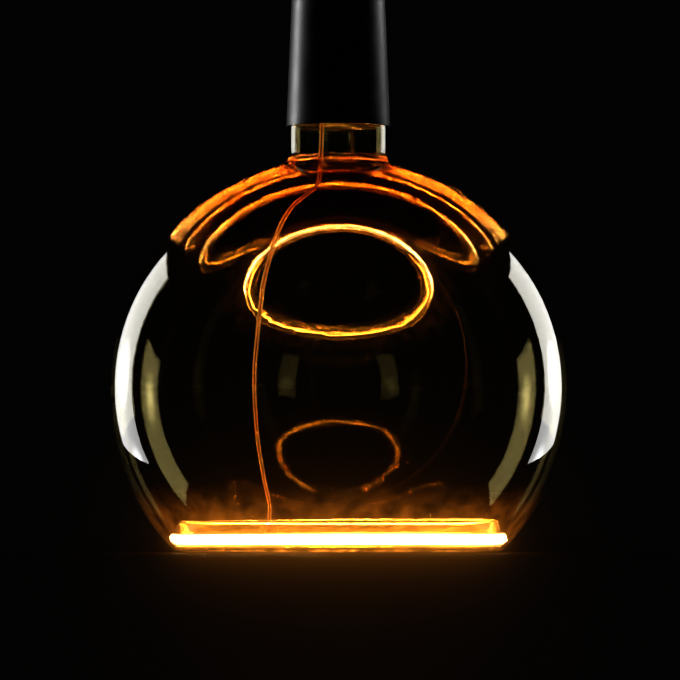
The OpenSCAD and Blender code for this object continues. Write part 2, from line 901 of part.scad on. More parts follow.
module transformer_winding() {
    bore = [leg_w + 2 * fine_gap + 2 * bobbin_wall, core_d + 2 * fine_gap + 2 * bobbin_wall];
    height = window_h - 2 * fine_gap - 2 * bobbin_flange_t;
    color(copper_colour)
    at_transformer()
    difference() {
        cube([leg_w + 2 * window_w - 4 * fit_gap, bobbin_depth - 4 * fit_gap, height], center = true);
        cube([bore[0], bore[1], height + lap], center = true);
    }
}

// Solder on the two pads where the mains wires join the board
module board_solder() {
    color(solder_colour)
    for (x = [live_x, neutral_x])
        on_front(x, pad_up)
        intersection() {
            sphere(pad_r, $fn = 32);
            translate([0, -pad_r, 0])
                cube([2 * pad_r, 2 * pad_r, pad_h], center = true);
        }
}

wire_section = [for (k = [0:7]) wire_d / 2 * [cos(k * 45), sin(k * 45)]];

module live_wire() {
    color([0.45, 0.25, 0.12])
        rod_along(smooth_route(live_route, wire_steps), false, wire_section);
}

module neutral_wire() {
    color([0.15, 0.3, 0.65])
        rod_along(smooth_route(neutral_route, wire_steps), false, wire_section);
}

// Moulded shoulder: a skirt in the liner, a shoulder flush with the sleeve and a spigot for the cap's shell
module crown() {
    rim_r = sleeve_r(sleeve_top_z);
    skirt_r = sleeve_r(sleeve_top_z) - liner_gap - liner_wall - fit_gap;
    shoulder_r = skirt_d / 2 + 1;
    throat_r = spigot_r - crown_wall;
    edge = 0.4;
    edge_h = 1;
    notch_z = cap_z + skirt_h;
    color(black_colour)
    difference() {
        rotate_extrude($fn = 180)
        difference() {
            union() {
                translate([0, sleeve_top_z - crown_skirt])
                    square([skirt_r, crown_skirt + edge_h]);
                polygon(concat(
                    [[0, sleeve_top_z], [rim_r - edge, sleeve_top_z], [rim_r, sleeve_top_z + edge]],
                    [for (a = [0:15:90])
                        [
                            shoulder_r + (rim_r - shoulder_r) * cos(a),
                            sleeve_top_z + edge_h + (crown_h - edge_h) * sin(a)
                        ]],
                    [[0, cap_z]]));
                translate([0, cap_z - lap])
                    square([spigot_r, spigot_h + lap]);
            }
            polygon([
                [0, sleeve_top_z - crown_skirt - lap],
                [skirt_r - crown_wall, sleeve_top_z - crown_skirt - lap],
                [skirt_r - crown_wall, sleeve_top_z],
                [throat_r, cap_z - crown_wall],
                [throat_r, cap_z + spigot_h + lap],
                [0, cap_z + spigot_h + lap]
            ]);
        }
        translate([-skirt_d - wire_notch_floor, -wire_notch_w / 2, notch_z])
            cube([skirt_d, wire_notch_w, spigot_h]);
    }
}

// Cap shell: height, plain radius and share of the thread's depth at each row of its formed sheet
shell_columns = 40;
shell_row_h = thread_pitch / 8;
shell_thread_rows = floor(thread_len / shell_row_h);
crest_depth = (thread_d - thread_root_d) / 2;
root_r = thread_root_d / 2;

// Share of the thread's depth that is reached near its two ends
function thread_fade(z) =
    min(1, (z - thread_z) / (thread_pitch / 2), (thread_top_z - z) / (thread_pitch / 2));

shell_rows = concat(
    [
        [cap_z, skirt_d / 2, 0],
        [thread_z - skirt_blend, skirt_d / 2, 0]
    ],
    [for (i = [0:shell_thread_rows])
        let (z = thread_z + i * shell_row_h)
        [z, root_r, max(0, thread_fade(z))]],
    [
        [thread_top_z + shell_band_h, root_r, 0],
        [shell_top_z - shell_round * (1 - sin(45)), root_r - shell_round * (1 - cos(45)), 0],
        [shell_top_z, root_r - shell_round, 0],
        [shell_top_z, shell_rim_r, 0]
    ]);

function shell_radius(row, a) =
    row[1] + row[2] * crest_depth * (0.5 - 0.5 * cos(360 * (row[0] - thread_z) / thread_pitch - a));

// The same rows on the sheet's inner side
function inner_row(i) =
    let (row = shell_rows[i], top = len(shell_rows) - 1)
    i < top - 2 ? [row[0], row[1] - shell_t, row[2]]
    : [row[0] - shell_t, i == top ? row[1] : row[1] - shell_t, 0];

// Formed sheet shell with the rounded thread
module screw_shell() {
    n = len(shell_rows);
    rows = concat(shell_rows, [for (i = [n - 1:-1:0]) inner_row(i)]);
    points = [for (row = rows, k = [0:shell_columns - 1])
        let (a = k * 360 / shell_columns, r = shell_radius(row, a))
        [r * cos(a), r * sin(a), row[0]]];
    faces = [for (i = [0:2 * n - 1], k = [0:shell_columns - 1])
        let (
            m = (k + 1) % shell_columns,
            low = i * shell_columns,
            high = ((i + 1) % (2 * n)) * shell_columns
        )
        each facet(low + k, low + m, high + m, high + k)];
    color(nickel_colour)
        polyhedron(points, faces);
}

// Black glass insulator between the shell and the contact
module shell_insulator() {
    flange_z = shell_top_z - shell_t - fine_gap;
    flange_h = 2;
    flange_r = root_r - shell_t - shell_round - fit_gap;
    collar_r = shell_rim_r - fit_gap;
    collar_h = 0.2;
    seat_r = contact_d / 2 + 0.8;
    color(black_colour)
    rotate_extrude()
    polygon([
        [wire_hole_r, flange_z - flange_h],
        [flange_r, flange_z - flange_h],
        [flange_r, flange_z],
        [collar_r, flange_z],
        [collar_r, shell_top_z + collar_h],
        [seat_r, contact_z],
        [wire_hole_r, contact_z]
    ]);
}

module centre_contact() {
    color(brass_colour)
    translate([0, 0, contact_z])
    difference() {
        cylinder(d = contact_d, h = contact_t);
        translate([0, 0, -lap])
            cylinder(r = wire_hole_r, h = contact_t + 2 * lap, $fn = 32);
    }
}

// Solder dome over the wire's end
module contact_solder() {
    base_r = contact_d / 4;
    dome_r = (pow(base_r, 2) + pow(solder_h, 2)) / (2 * solder_h);
    color(solder_colour)
    intersection() {
        translate([0, 0, cap_top_z - dome_r])
            sphere(dome_r, $fn = 48);
        translate([0, 0, cap_top_z - solder_h])
            cylinder(d = contact_d, h = solder_h);
    }
}

glass_globe();
carrier_ring();
flex_board();
led_chips();
phosphor_coat();
flex_tail();
solder_joints();
adhesive_beads();
lead_jacket();
lead_core_left();
lead_core_right();
neck_plug();
lead_grommet();
neck_cement();
outer_sleeve();
inner_liner();
driver_board();
output_connector();
bulk_capacitor();
film_capacitor();
varistor();
fusible_resistor();
bridge_rectifier();
driver_chip();
power_transistor();
filter_choke();
chip_resistors();
transformer_core();
transformer_bobbin();
transformer_winding();
board_solder();
live_wire();
neutral_wire();
crown();
screw_shell();
shell_insulator();
centre_contact();
contact_solder();
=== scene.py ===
# LED globe bulb, the visible model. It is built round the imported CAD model, in the same frame and in metres.
# The glass, the light ring, the lead, the sleeve, the screw cap and the wound parts are made here in fine
# meshes. The other pieces keep their CAD shapes and get their real materials.
import math

import bmesh
import bpy
from mathutils import Matrix, Vector, noise


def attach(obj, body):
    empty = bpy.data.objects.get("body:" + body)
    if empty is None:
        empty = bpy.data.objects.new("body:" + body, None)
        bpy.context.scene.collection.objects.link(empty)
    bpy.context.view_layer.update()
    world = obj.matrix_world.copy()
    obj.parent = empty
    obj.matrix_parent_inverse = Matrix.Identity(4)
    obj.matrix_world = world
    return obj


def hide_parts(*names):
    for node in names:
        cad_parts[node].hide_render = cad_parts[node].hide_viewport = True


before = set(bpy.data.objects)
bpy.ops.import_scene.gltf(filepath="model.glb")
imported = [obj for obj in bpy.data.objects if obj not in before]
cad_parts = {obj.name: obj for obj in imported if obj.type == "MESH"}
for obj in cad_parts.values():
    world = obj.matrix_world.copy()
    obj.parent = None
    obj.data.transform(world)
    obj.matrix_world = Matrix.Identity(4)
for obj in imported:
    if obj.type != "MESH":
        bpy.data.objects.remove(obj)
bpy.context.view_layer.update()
scene = bpy.context.scene

MM = 0.001
TURN = 2 * math.pi

# Sizes of the glass, in millimetres. These and all sizes down to the screw cap's are those of the CAD source
GLOBE_R = 100
GLOBE_Z = 71
GLASS_WALL = 1.2
BOTTOM_WALL = 2
BOTTOM_ROUND = 4.5
NECK_R = 21.9
NECK_WALL = 1.5
NECK_ROUND = 6
GRIP_R = 20.7
GRIP_BORE_R = 19.2
STEP_Z = 183.8
NECK_TOP_Z = 195

# Clear ring and its foot
CARRIER_R = 70.1
CARRIER_IN_R = 68.4
FOOT_IN_R = 65.4
FOOT_TOP_Z = 3.2
LIP_Z = 12.55

# Lit band: flexible board, chips and the coat over them
FLEX_R = 70.4
COAT_IN_R = 70.5
COAT_R = 72.4
COAT_LOW_Z = 3.45
COAT_TOP_Z = 7.95
COAT_ROUND = 1.6
BAND_Z = 5.7
CHIP_COUNT = 144
CHIP_W = 1.2
CHIP_H = 1.1
CHIP_T = 0.55
TAIL_AZIMUTH = math.radians(117.3)

# Lead: two wires in one jacket
WIRE_R = 0.55
CORE_R = 0.3
WEB_T = 0.6
LEAD_BARE = 1.5

# Transformer winding and choke
WINDING_SIZE = (9, 10.6, 7.7)
WINDING_BORE = (5.1, 7.1)
WINDING_PLACE = (-6, -2.5, 221)
CHOKE_R = 4
CHOKE_H = 9
CHOKE_FLANGE = 1.2
CHOKE_WOUND_R = 3.5
CHOKE_PLACE = (6, 9.1, 224)

# Sleeve and screw cap
SLEEVE_LOW_R = 22.55
SLEEVE_TOP_R = 20.05
SLEEVE_Z = 183.5
SLEEVE_TOP_Z = 244
SLEEVE_WALL = 0.6
CAP_Z = 252
SKIRT_R = 13.3
THREAD_Z = 255.4
THREAD_TOP_Z = 269.4
THREAD_R = 13.1
ROOT_R = 12.1
THREAD_PITCH = 3.629
SHELL_TOP_Z = 272.5
SHELL_RIM_R = 9.8
SHELL_ROUND = 1.3
SHELL_T = 0.3


def light_of(hex_colour):
    """The linear colour, with full cover, of an sRGB hex colour."""
    parts = [int(hex_colour[i:i + 2], 16) / 255 for i in (1, 3, 5)]
    return [c / 12.92 if c <= 0.04045 else ((c + 0.055) / 1.055) ** 2.4 for c in parts] + [1]


def add_node(tree, kind, inputs=None, stops=None, **settings):
    """Adds a node with its settings. An input takes a value or another node's output, and a colour ramp takes
    stops, each a place and a colour."""
    made = tree.nodes.new(kind)
    for name, value in settings.items():
        setattr(made, name, value)
    for name, value in (inputs or {}).items():
        if isinstance(value, bpy.types.NodeSocket):
            tree.links.new(value, made.inputs[name])
        else:
            made.inputs[name].default_value = value
    for i, (place, colour) in enumerate(stops or ()):
        ramp = made.color_ramp.elements
        stop = ramp[i] if i < 2 else ramp.new(place)
        stop.position = place
        stop.color = colour
    return made


def pattern_scale(size_mm):
    """Texture scale whose features are about this large, for coordinates in metres."""
    return 1 / (size_mm * MM)


def add_object(name, data):
    """Puts a new object in the scene, at the origin."""
    made = bpy.data.objects.new(name, data)
    scene.collection.objects.link(made)
    return made


# Camera

# The lens is in front of the bulb, level with the top of the lit band, and tips up a little
CAMERA_AWAY = 2.0
CAMERA_UP = 0.008
MM_PER_PIXEL = 0.4315
LENS_PIXELS = CAMERA_AWAY / (MM_PER_PIXEL * MM)
GLOBE_PIXEL = (338.3, 387.0)
FRAME_PIXELS = 680
SENSOR_WIDTH = 36

camera = add_object("camera", bpy.data.cameras.new("camera"))
scene.camera = camera
camera.data.sensor_width = SENSOR_WIDTH
camera.data.lens = LENS_PIXELS / FRAME_PIXELS * SENSOR_WIDTH
camera.data.clip_start = 0.05
camera.data.clip_end = 100
tip = math.atan2(GLOBE_Z * MM - CAMERA_UP, CAMERA_AWAY)
tip += math.atan2(GLOBE_PIXEL[1] - FRAME_PIXELS / 2, LENS_PIXELS)
pan = math.atan2(GLOBE_PIXEL[0] - FRAME_PIXELS / 2, LENS_PIXELS)
camera.location = (0, -CAMERA_AWAY, CAMERA_UP)
camera.rotation_euler = (math.pi / 2 + tip, 0, pan)


# Ways to make and place a piece

def show(mesh, finish):
    """Makes a piece from a mesh whose points are in their places, with smooth faces and its finish."""
    mesh.materials.append(finish)
    mesh.polygons.foreach_set("use_smooth", [True] * len(mesh.polygons))
    return add_object(mesh.name, mesh)


def stand_for(piece, node):
    """The piece rides with the bulb's one body and stands for a CAD node, which is hidden."""
    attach(piece, "root")
    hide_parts(node)


def arc(centre, radius, start, end, steps):
    """Points of an arc in a section, from one angle in degrees to another."""
    angles = [math.radians(start + (end - start) * i / steps) for i in range(steps + 1)]
    return [(centre[0] + radius * math.cos(a), centre[1] + radius * math.sin(a)) for a in angles]


def skin(bm, rows, rows_closed=True, points_closed=True):
    """Joins each row of points to the next with four-sided faces, closed into a loop either way or open."""
    for i in range(len(rows) if rows_closed else len(rows) - 1):
        here, there = rows[i], rows[(i + 1) % len(rows)]
        for k in range(len(here) if points_closed else len(here) - 1):
            m = (k + 1) % len(here)
            bm.faces.new((here[k], there[k], there[m], here[m]))


def finished_mesh(name, bm):
    """The plain mesh of what was built, with its faces turned outwards."""
    bmesh.ops.recalc_face_normals(bm, faces=bm.faces)
    mesh = bpy.data.meshes.new(name)
    bm.to_mesh(mesh)
    bm.free()
    return mesh


def turned(name, section, columns, shift=None):
    """Mesh turned round the bulb's axis from a section of radii and heights in mm, which starts and ends on
    the axis or is a loop. The shift moves each point off the round."""
    bm = bmesh.new()
    rings = []
    for column in range(columns):
        angle = TURN * column / columns
        ring = []
        for radius, height in section:
            if shift:
                radius, height = shift(angle, radius, height)
            ring.append(bm.verts.new((
                radius * MM * math.cos(angle), radius * MM * math.sin(angle), height * MM)))
        rings.append(ring)
    on_axis = section[0][0] == 0 and section[-1][0] == 0
    skin(bm, rings, points_closed=not on_axis)
    bmesh.ops.remove_doubles(bm, verts=bm.verts, dist=1e-7)
    bmesh.ops.dissolve_degenerate(bm, dist=1e-8, edges=bm.edges)
    return finished_mesh(name, bm)


# Ways to make a finish

def new_finish(name):
    """A material with an empty tree, and its object coordinates."""
    finish = bpy.data.materials.new(name)
    finish.use_nodes = True
    tree = finish.node_tree
    tree.nodes.clear()
    place = add_node(tree, "ShaderNodeTexCoord").outputs["Object"]
    return finish, tree, place


def close_finish(finish, shader):
    """Ends a material in its shader."""
    add_node(finish.node_tree, "ShaderNodeOutputMaterial", {"Surface": shader.outputs[0]})
    return finish


def distance_from_axis(tree, place):
    """Distance in metres from the bulb's axis."""
    flat = add_node(tree, "ShaderNodeVectorMath", {0: place, 1: (1, 1, 0)}, operation="MULTIPLY")
    return add_node(tree, "ShaderNodeVectorMath", {0: flat.outputs[0]}, operation="LENGTH").outputs["Value"]


def opaque_finish(name, light, dark, patch_mm, grain_mm, grain_height_mm, rough, **settings):
    """An opaque finish: two near colours in soft patches, a fine grain in relief and an uneven roughness."""
    finish, tree, place = new_finish(name)
    patches = add_node(tree, "ShaderNodeTexNoise", {
        "Vector": place, "Scale": pattern_scale(patch_mm), "Detail": 4})
    colour = add_node(tree, "ShaderNodeValToRGB", {"Fac": patches.outputs["Fac"]}, stops=[
        (0.35, light_of(dark)), (0.65, light_of(light))])
    grain = add_node(tree, "ShaderNodeTexNoise", {
        "Vector": place, "Scale": pattern_scale(grain_mm), "Detail": 2})
    relief = add_node(tree, "ShaderNodeBump", {
        "Height": grain.outputs["Fac"], "Strength": 0.6, "Distance": grain_height_mm * MM})
    gloss = add_node(tree, "ShaderNodeMapRange", {
        "Value": patches.outputs["Fac"], "From Min": 0.3, "From Max": 0.7,
        "To Min": rough[0], "To Max": rough[1]})
    return close_finish(finish, add_node(tree, "ShaderNodeBsdfPrincipled", {
        "Base Color": colour.outputs["Color"], "Roughness": gloss.outputs["Result"],
        "Normal": relief.outputs["Normal"], **settings}))


# Clear and glowing finishes

# Colours of the LEDs' light, in linear parts: where the eye sees the chips' coat, where clear parts pass it on
# as a painted glow, and of the painted haze in the globe's lustre
CANDLE_WHITE = (1, 0.6, 0.34)
CANDLE_ORANGE = (1, 0.45, 0.12)
PAINTED_HAZE_ORANGE = (1, 0.38, 0.08)

# Colours of the glass at heights in mm: it is faintly yellow, and orange round the shoulder
TINT_LOW_Z, TINT_TOP_Z = 100, 200
GLASS_TINTS = ((130, "#F0EACB"), (146, "#EAB262"), (166, "#DE9042"), (174, "#F0EACB"))

# Lengths in mm of the waves in the wall and in its lustre, and their height
WALL_WAVE, LUSTRE_WAVE, WAVE_HEIGHT = 24, 17, 0.045

# The painted haze, an orange glow painted into the glass for the ring's light in the lower wall, thins out
# upwards between these heights in mm, and inwards between these radii, so that the flat bottom stays clear
HAZE_Z = (8, 30)
HAZE_R = (68, 74)

# Strengths of the painted glow for the light that leaves the clear ring as a line behind the chips,
# at its lip and at its foot
LINE_LIGHT, LIP_LIGHT, FOOT_LIGHT = 45, 2, 0.8

# Height of the foot under the coat that has a painted glow, and depth of the ring's outer wall that has it, in
# mm
FOOT_LIGHT_H = 0.6
WALL_SKIN = 0.1

# Strength of the coat's light, and its share at each share of the band's height
GLOW = 160
GLOW_LINES = (
    (0, 0.03), (0.1, 0.06), (0.3, 0.08), (0.36, 1), (0.43, 1), (0.5, 0.12), (0.57, 1), (0.64, 1),
    (0.71, 0.08), (0.9, 0.05), (1, 0.004))


# Soda-lime glass, blown and flashed with a thin gold lustre. The wall is faintly yellow, and each of its
# faces throws back an eighth of the light or so. The lit ring is seen again and again in the walls, in lines
# that the waves of the blowing make double and uneven
def lustred_glass():
    finish, tree, place = new_finish("lustred_soda_lime_glass")
    flattened = add_node(tree, "ShaderNodeVectorMath", {0: place, 1: (1, 1, 3)}, operation="MULTIPLY")
    waves = []
    for length_mm in (WALL_WAVE, LUSTRE_WAVE):
        swell = add_node(tree, "ShaderNodeTexNoise", {
            "Vector": flattened.outputs[0], "Scale": pattern_scale(length_mm), "Detail": 2,
            "Roughness": 0.45})
        waves.append(add_node(tree, "ShaderNodeBump", {
            "Height": swell.outputs["Fac"], "Strength": 1, "Distance": WAVE_HEIGHT * MM}))
    height = add_node(tree, "ShaderNodeSeparateXYZ", {"Vector": place}).outputs["Z"]
    tint_height = add_node(tree, "ShaderNodeMapRange", {
        "Value": height, "From Min": TINT_LOW_Z * MM, "From Max": TINT_TOP_Z * MM})
    tint = add_node(tree, "ShaderNodeValToRGB", {"Fac": tint_height.outputs["Result"]}, stops=[
        ((z - TINT_LOW_Z) / (TINT_TOP_Z - TINT_LOW_Z), light_of(colour)) for z, colour in GLASS_TINTS])
    # Just over the band a smoky orange haze is painted into the glass as a glow, for the ring's light that the
    # lower wall scatters and throws back. It thins out upwards
    painted_haze_noise = add_node(tree, "ShaderNodeTexNoise", {
        "Vector": place, "Scale": pattern_scale(11), "Detail": 4, "Roughness": 0.6})
    painted_haze_puffs = add_node(tree, "ShaderNodeMapRange", {
        "Value": painted_haze_noise.outputs["Fac"], "From Min": 0.4, "From Max": 0.62, "To Min": 0.01, "To Max": 0.09})
    over_band = add_node(tree, "ShaderNodeMapRange", {
        "Value": height, "From Min": HAZE_Z[0] * MM, "From Max": HAZE_Z[1] * MM, "To Min": 1, "To Max": 0},
        interpolation_type="SMOOTHSTEP")
    off_bottom = add_node(tree, "ShaderNodeMapRange", {
        "Value": distance_from_axis(tree, place), "From Min": HAZE_R[0] * MM, "From Max": HAZE_R[1] * MM})
    on_side = add_node(tree, "ShaderNodeMath", {
        0: over_band.outputs["Result"], 1: off_bottom.outputs["Result"]}, operation="MULTIPLY")
    haze = add_node(tree, "ShaderNodeMath", {
        0: on_side.outputs[0], 1: painted_haze_puffs.outputs["Result"]}, operation="MULTIPLY")
    # The painted haze is too faint to light anything, so it isn't sampled as a lamp
    finish.cycles.emission_sampling = "NONE"
    return close_finish(finish, add_node(tree, "ShaderNodeBsdfPrincipled", {
        "Base Color": tint.outputs["Color"], "Roughness": 0, "IOR": 1.52, "Transmission Weight": 1,
        "Emission Color": [*PAINTED_HAZE_ORANGE, 1], "Emission Strength": haze.outputs[0],
        "Coat Weight": 1, "Coat IOR": 1.78, "Coat Roughness": 0,
        "Normal": waves[0].outputs["Normal"], "Coat Normal": waves[1].outputs["Normal"]}))


# Clear silicone, moulded. Its glow is painted, for the LEDs' light that it passes on. Light from behind the
# chips shines through its wall as a thin line. The wall carries some of it up and glows deep orange. The rest
# leaves at the lip, and shows as a second thin line
def lit_clear_silicone():
    finish, tree, place = new_finish("clear_moulded_silicone")
    height = add_node(tree, "ShaderNodeSeparateXYZ", {"Vector": place}).outputs["Z"]
    on_wall = add_node(tree, "ShaderNodeMath", {
        0: distance_from_axis(tree, place), 1: (CARRIER_R - WALL_SKIN) * MM}, operation="GREATER_THAN")
    # The lip is where the ring faces up, over its wall
    facing = add_node(tree, "ShaderNodeSeparateXYZ", {"Vector": place.node.outputs["Normal"]})
    upwards = add_node(tree, "ShaderNodeMapRange", {
        "Value": facing.outputs["Z"], "From Min": 0.92, "From Max": 0.99})
    over_wall = add_node(tree, "ShaderNodeMath", {0: height, 1: LIP_Z * MM}, operation="GREATER_THAN")
    at_lip = add_node(tree, "ShaderNodeMath", {
        0: upwards.outputs["Result"], 1: over_wall.outputs[0]}, operation="MULTIPLY")
    streaked = add_node(tree, "ShaderNodeVectorMath", {0: place, 1: (1, 1, 5)}, operation="MULTIPLY")
    flow = add_node(tree, "ShaderNodeTexNoise", {
        "Vector": streaked.outputs[0], "Scale": pattern_scale(5), "Detail": 2})
    leaving = add_node(tree, "ShaderNodeMapRange", {
        "Value": flow.outputs["Fac"], "From Min": 0.4, "From Max": 0.66, "To Min": 0.02, "To Max": 0.2})
    carried = add_node(tree, "ShaderNodeMath", {
        0: at_lip.outputs[0], 1: LIP_LIGHT, 2: leaving.outputs["Result"]}, operation="MULTIPLY_ADD")
    under_coat = add_node(tree, "ShaderNodeMapRange", {
        "Value": height, "From Min": COAT_LOW_Z * MM, "From Max": (COAT_LOW_Z - FOOT_LIGHT_H) * MM,
        "To Min": 0, "To Max": FOOT_LIGHT})
    with_foot = add_node(tree, "ShaderNodeMath", {
        0: under_coat.outputs["Result"], 1: on_wall.outputs[0], 2: carried.outputs[0]},
        operation="MULTIPLY_ADD")
    off_middle = add_node(tree, "ShaderNodeMath", {0: height, 1: BAND_Z * MM}, operation="SUBTRACT")
    from_middle = add_node(tree, "ShaderNodeMath", {0: off_middle.outputs[0]}, operation="ABSOLUTE")
    behind_chips = add_node(tree, "ShaderNodeMapRange", {
        "Value": from_middle.outputs[0], "From Min": 0.2 * MM, "From Max": CHIP_H * MM,
        "To Min": 1, "To Max": 0}, interpolation_type="SMOOTHSTEP")
    line = add_node(tree, "ShaderNodeMath", {
        0: behind_chips.outputs["Result"], 1: on_wall.outputs[0]}, operation="MULTIPLY")
    all_light = add_node(tree, "ShaderNodeMath", {
        0: line.outputs[0], 1: LINE_LIGHT, 2: with_foot.outputs[0]}, operation="MULTIPLY_ADD")
    return close_finish(finish, add_node(tree, "ShaderNodeBsdfPrincipled", {
        "Base Color": light_of("#F3E3C4"), "Roughness": 0.04, "IOR": 1.41, "Transmission Weight": 0.9,
        "Emission Color": [*CANDLE_ORANGE, 1], "Emission Strength": all_light.outputs[0]}))


# Clear silicone, extruded: smooth and water clear, for the lead's jacket and the adhesive beads
def clear_silicone():
    finish, tree, _ = new_finish("clear_extruded_silicone")
    return close_finish(finish, add_node(tree, "ShaderNodeBsdfPrincipled", {
        "Base Color": light_of("#F6EEDC"), "Roughness": 0.06, "IOR": 1.41, "Transmission Weight": 1}))


# Silicone full of phosphor, dispensed over the chips and lit: the deep orange of a candle, so strong that the
# eye sees it white, strongest and palest in two lines along the edges of the chips
def lit_phosphor():
    finish, tree, place = new_finish("phosphor_filled_silicone")
    height = add_node(tree, "ShaderNodeSeparateXYZ", {"Vector": place}).outputs["Z"]
    level = add_node(tree, "ShaderNodeMapRange", {
        "Value": height, "From Min": COAT_LOW_Z * MM, "From Max": COAT_TOP_Z * MM})
    glow = add_node(tree, "ShaderNodeValToRGB", {"Fac": level.outputs["Result"]}, stops=[
        (share, [part * strength for part in CANDLE_WHITE] + [1]) for share, strength in GLOW_LINES])
    return close_finish(finish, add_node(tree, "ShaderNodeBsdfPrincipled", {
        "Base Color": light_of("#F0A53C"), "Roughness": 0.45, "IOR": 1.41,
        "Emission Color": glow.outputs["Color"], "Emission Strength": GLOW}))


glass_finish = lustred_glass()
ring_finish = lit_clear_silicone()
jacket_finish = clear_silicone()
glow_finish = lit_phosphor()


# Opaque finishes

# Flexible circuit under a white coating: satin, with a painted glow for the light caught in the ring that
# shines through it
flex_finish = opaque_finish("white_coated_polyimide", "#EAE3CF", "#DCD2B8", 6, 0.4, 0.004, (0.28, 0.4), **{
    "IOR": 1.7, "Emission Color": [*CANDLE_ORANGE, 1], "Emission Strength": 0.2})
# Ceramic package of a chip: chalky white
package_finish = opaque_finish("chip_ceramic", "#F1EEE4", "#E2DDCF", 0.6, 0.08, 0.002, (0.5, 0.65))
# Phosphor window of a chip: yellow and matt
window_finish = opaque_finish("chip_phosphor", "#F4D64A", "#E6BF30", 0.5, 0.06, 0.003, (0.5, 0.6))
# Tin solder: bright grey metal, a little frosted
solder_finish = opaque_finish(
    "tin_solder", "#D6D5D0", "#B9B7B1", 0.5, 0.1, 0.004, (0.18, 0.36), **{"Metallic": 1})
# Bare copper wire, drawn: warm metal with a painted glow, for the light that the lead carries through the
# clear jacket
copper_finish = opaque_finish("drawn_copper", "#D88850", "#C0703C", 0.5, 0.08, 0.002, (0.3, 0.42), **{
    "Metallic": 1, "Emission Color": [*CANDLE_ORANGE, 1], "Emission Strength": 0.28})
# Enamelled copper wire: darker and glassy
enamel_finish = opaque_finish("enamelled_copper", "#B4552C", "#933F1E", 0.8, 0.1, 0.002, (0.12, 0.22), **{
    "Metallic": 1, "Coat Weight": 0.8})
# Powder coat on drawn aluminium: satin black with a fine orange peel
coat_finish = opaque_finish(
    "satin_black_powder_coat", "#19191B", "#131315", 9, 0.35, 0.012, (0.36, 0.44), **{"IOR": 1.5})
# PBT, moulded and spark-eroded: black, matt and very finely grained
crown_finish = opaque_finish("black_moulded_pbt", "#1C1C1E", "#151517", 5, 0.22, 0.012, (0.48, 0.58))
# PBT, moulded: white, smooth and slightly waxy
white_finish = opaque_finish("white_moulded_pbt", "#EEEDE8", "#E4E2DA", 5, 0.3, 0.006, (0.34, 0.44), **{
    "Subsurface Weight": 0.1, "Subsurface Radius": [0.0006, 0.0005, 0.0004], "Subsurface Scale": 1})
# Silicone grommet: soft grey with a dry touch
grommet_finish = opaque_finish("soft_grey_silicone", "#BFB8A9", "#AFA798", 2, 0.15, 0.006, (0.55, 0.7))
# Ceramic cement: chalky, with pores
cement_finish = opaque_finish("lamp_cement", "#D2CCBB", "#B9B19C", 1.2, 0.25, 0.05, (0.8, 0.95))
# Shrunk PVC sleeve of the bulk capacitor: dark blue and glossy
sleeve_film_finish = opaque_finish("capacitor_sleeve", "#22243A", "#1A1B2C", 3, 0.3, 0.006, (0.2, 0.3))
# Epoxy of the moulded chips: near black and matt
epoxy_finish = opaque_finish("moulded_epoxy", "#232325", "#1A1A1C", 1.5, 0.08, 0.004, (0.55, 0.7))
# Dipped lacquer of the film capacitor: brick red with a wet gloss
film_finish = opaque_finish("dipped_red_lacquer", "#B5432B", "#9E3522", 3, 0.5, 0.02, (0.14, 0.24))
# Dipped epoxy of the varistor: blue with a soft gloss
varistor_finish = opaque_finish("dipped_blue_epoxy", "#2C55A0", "#234687", 2, 0.4, 0.02, (0.26, 0.36))
# Sintered ferrite: charcoal, dry, with a fine sparkle
ferrite_finish = opaque_finish("sintered_ferrite", "#3A3A3D", "#2B2B2D", 0.8, 0.12, 0.01, (0.5, 0.68))
# PVC insulation of the mains wires: smooth with a soft gloss
brown_finish = opaque_finish("brown_pvc", "#5E3620", "#4F2C19", 2, 0.2, 0.004, (0.32, 0.42))
blue_finish = opaque_finish("blue_pvc", "#2A5CB0", "#214C96", 2, 0.2, 0.004, (0.32, 0.42))
# Nickel on formed brass: warm grey mirror, rubbed duller in patches
nickel_finish = opaque_finish(
    "nickel_plated_brass", "#CFCAC0", "#BDB7AB", 4, 0.25, 0.003, (0.14, 0.34), **{"Metallic": 1})
# Black glass, pressed round the contact: deep gloss with slight flow waves
vitrite_finish = opaque_finish(
    "pressed_black_glass", "#121114", "#0B0A0D", 3, 1.6, 0.03, (0.05, 0.12), **{"IOR": 1.52})
# Brass, stamped: yellow metal with handling marks
brass_finish = opaque_finish(
    "stamped_brass", "#D2AE62", "#BC964A", 2, 0.2, 0.004, (0.2, 0.36), **{"Metallic": 1})


# Glass-fibre board under green solder mask: the tracks show as lighter green
def masked_board():
    finish, tree, place = new_finish("green_circuit_board")
    tracks = add_node(tree, "ShaderNodeTexBrick", {
        "Vector": place, "Color1": (1, 1, 1, 1), "Color2": (0.6, 0.6, 0.6, 1), "Mortar": (0, 0, 0, 1),
        "Scale": pattern_scale(6), "Mortar Size": 0.03, "Mortar Smooth": 0.1, "Brick Width": 1.4,
        "Row Height": 0.5})
    mask_colour = add_node(tree, "ShaderNodeValToRGB", {"Fac": tracks.outputs["Color"]}, stops=[
        (0.2, light_of("#0E4A26")), (0.8, light_of("#1C6B38"))])
    step = add_node(tree, "ShaderNodeBump", {
        "Height": tracks.outputs["Color"], "Strength": 0.5, "Distance": 0.04 * MM})
    return close_finish(finish, add_node(tree, "ShaderNodeBsdfPrincipled", {
        "Base Color": mask_colour.outputs["Color"], "Roughness": 0.22, "Normal": step.outputs["Normal"]}))


board_finish = masked_board()


# Glass globe

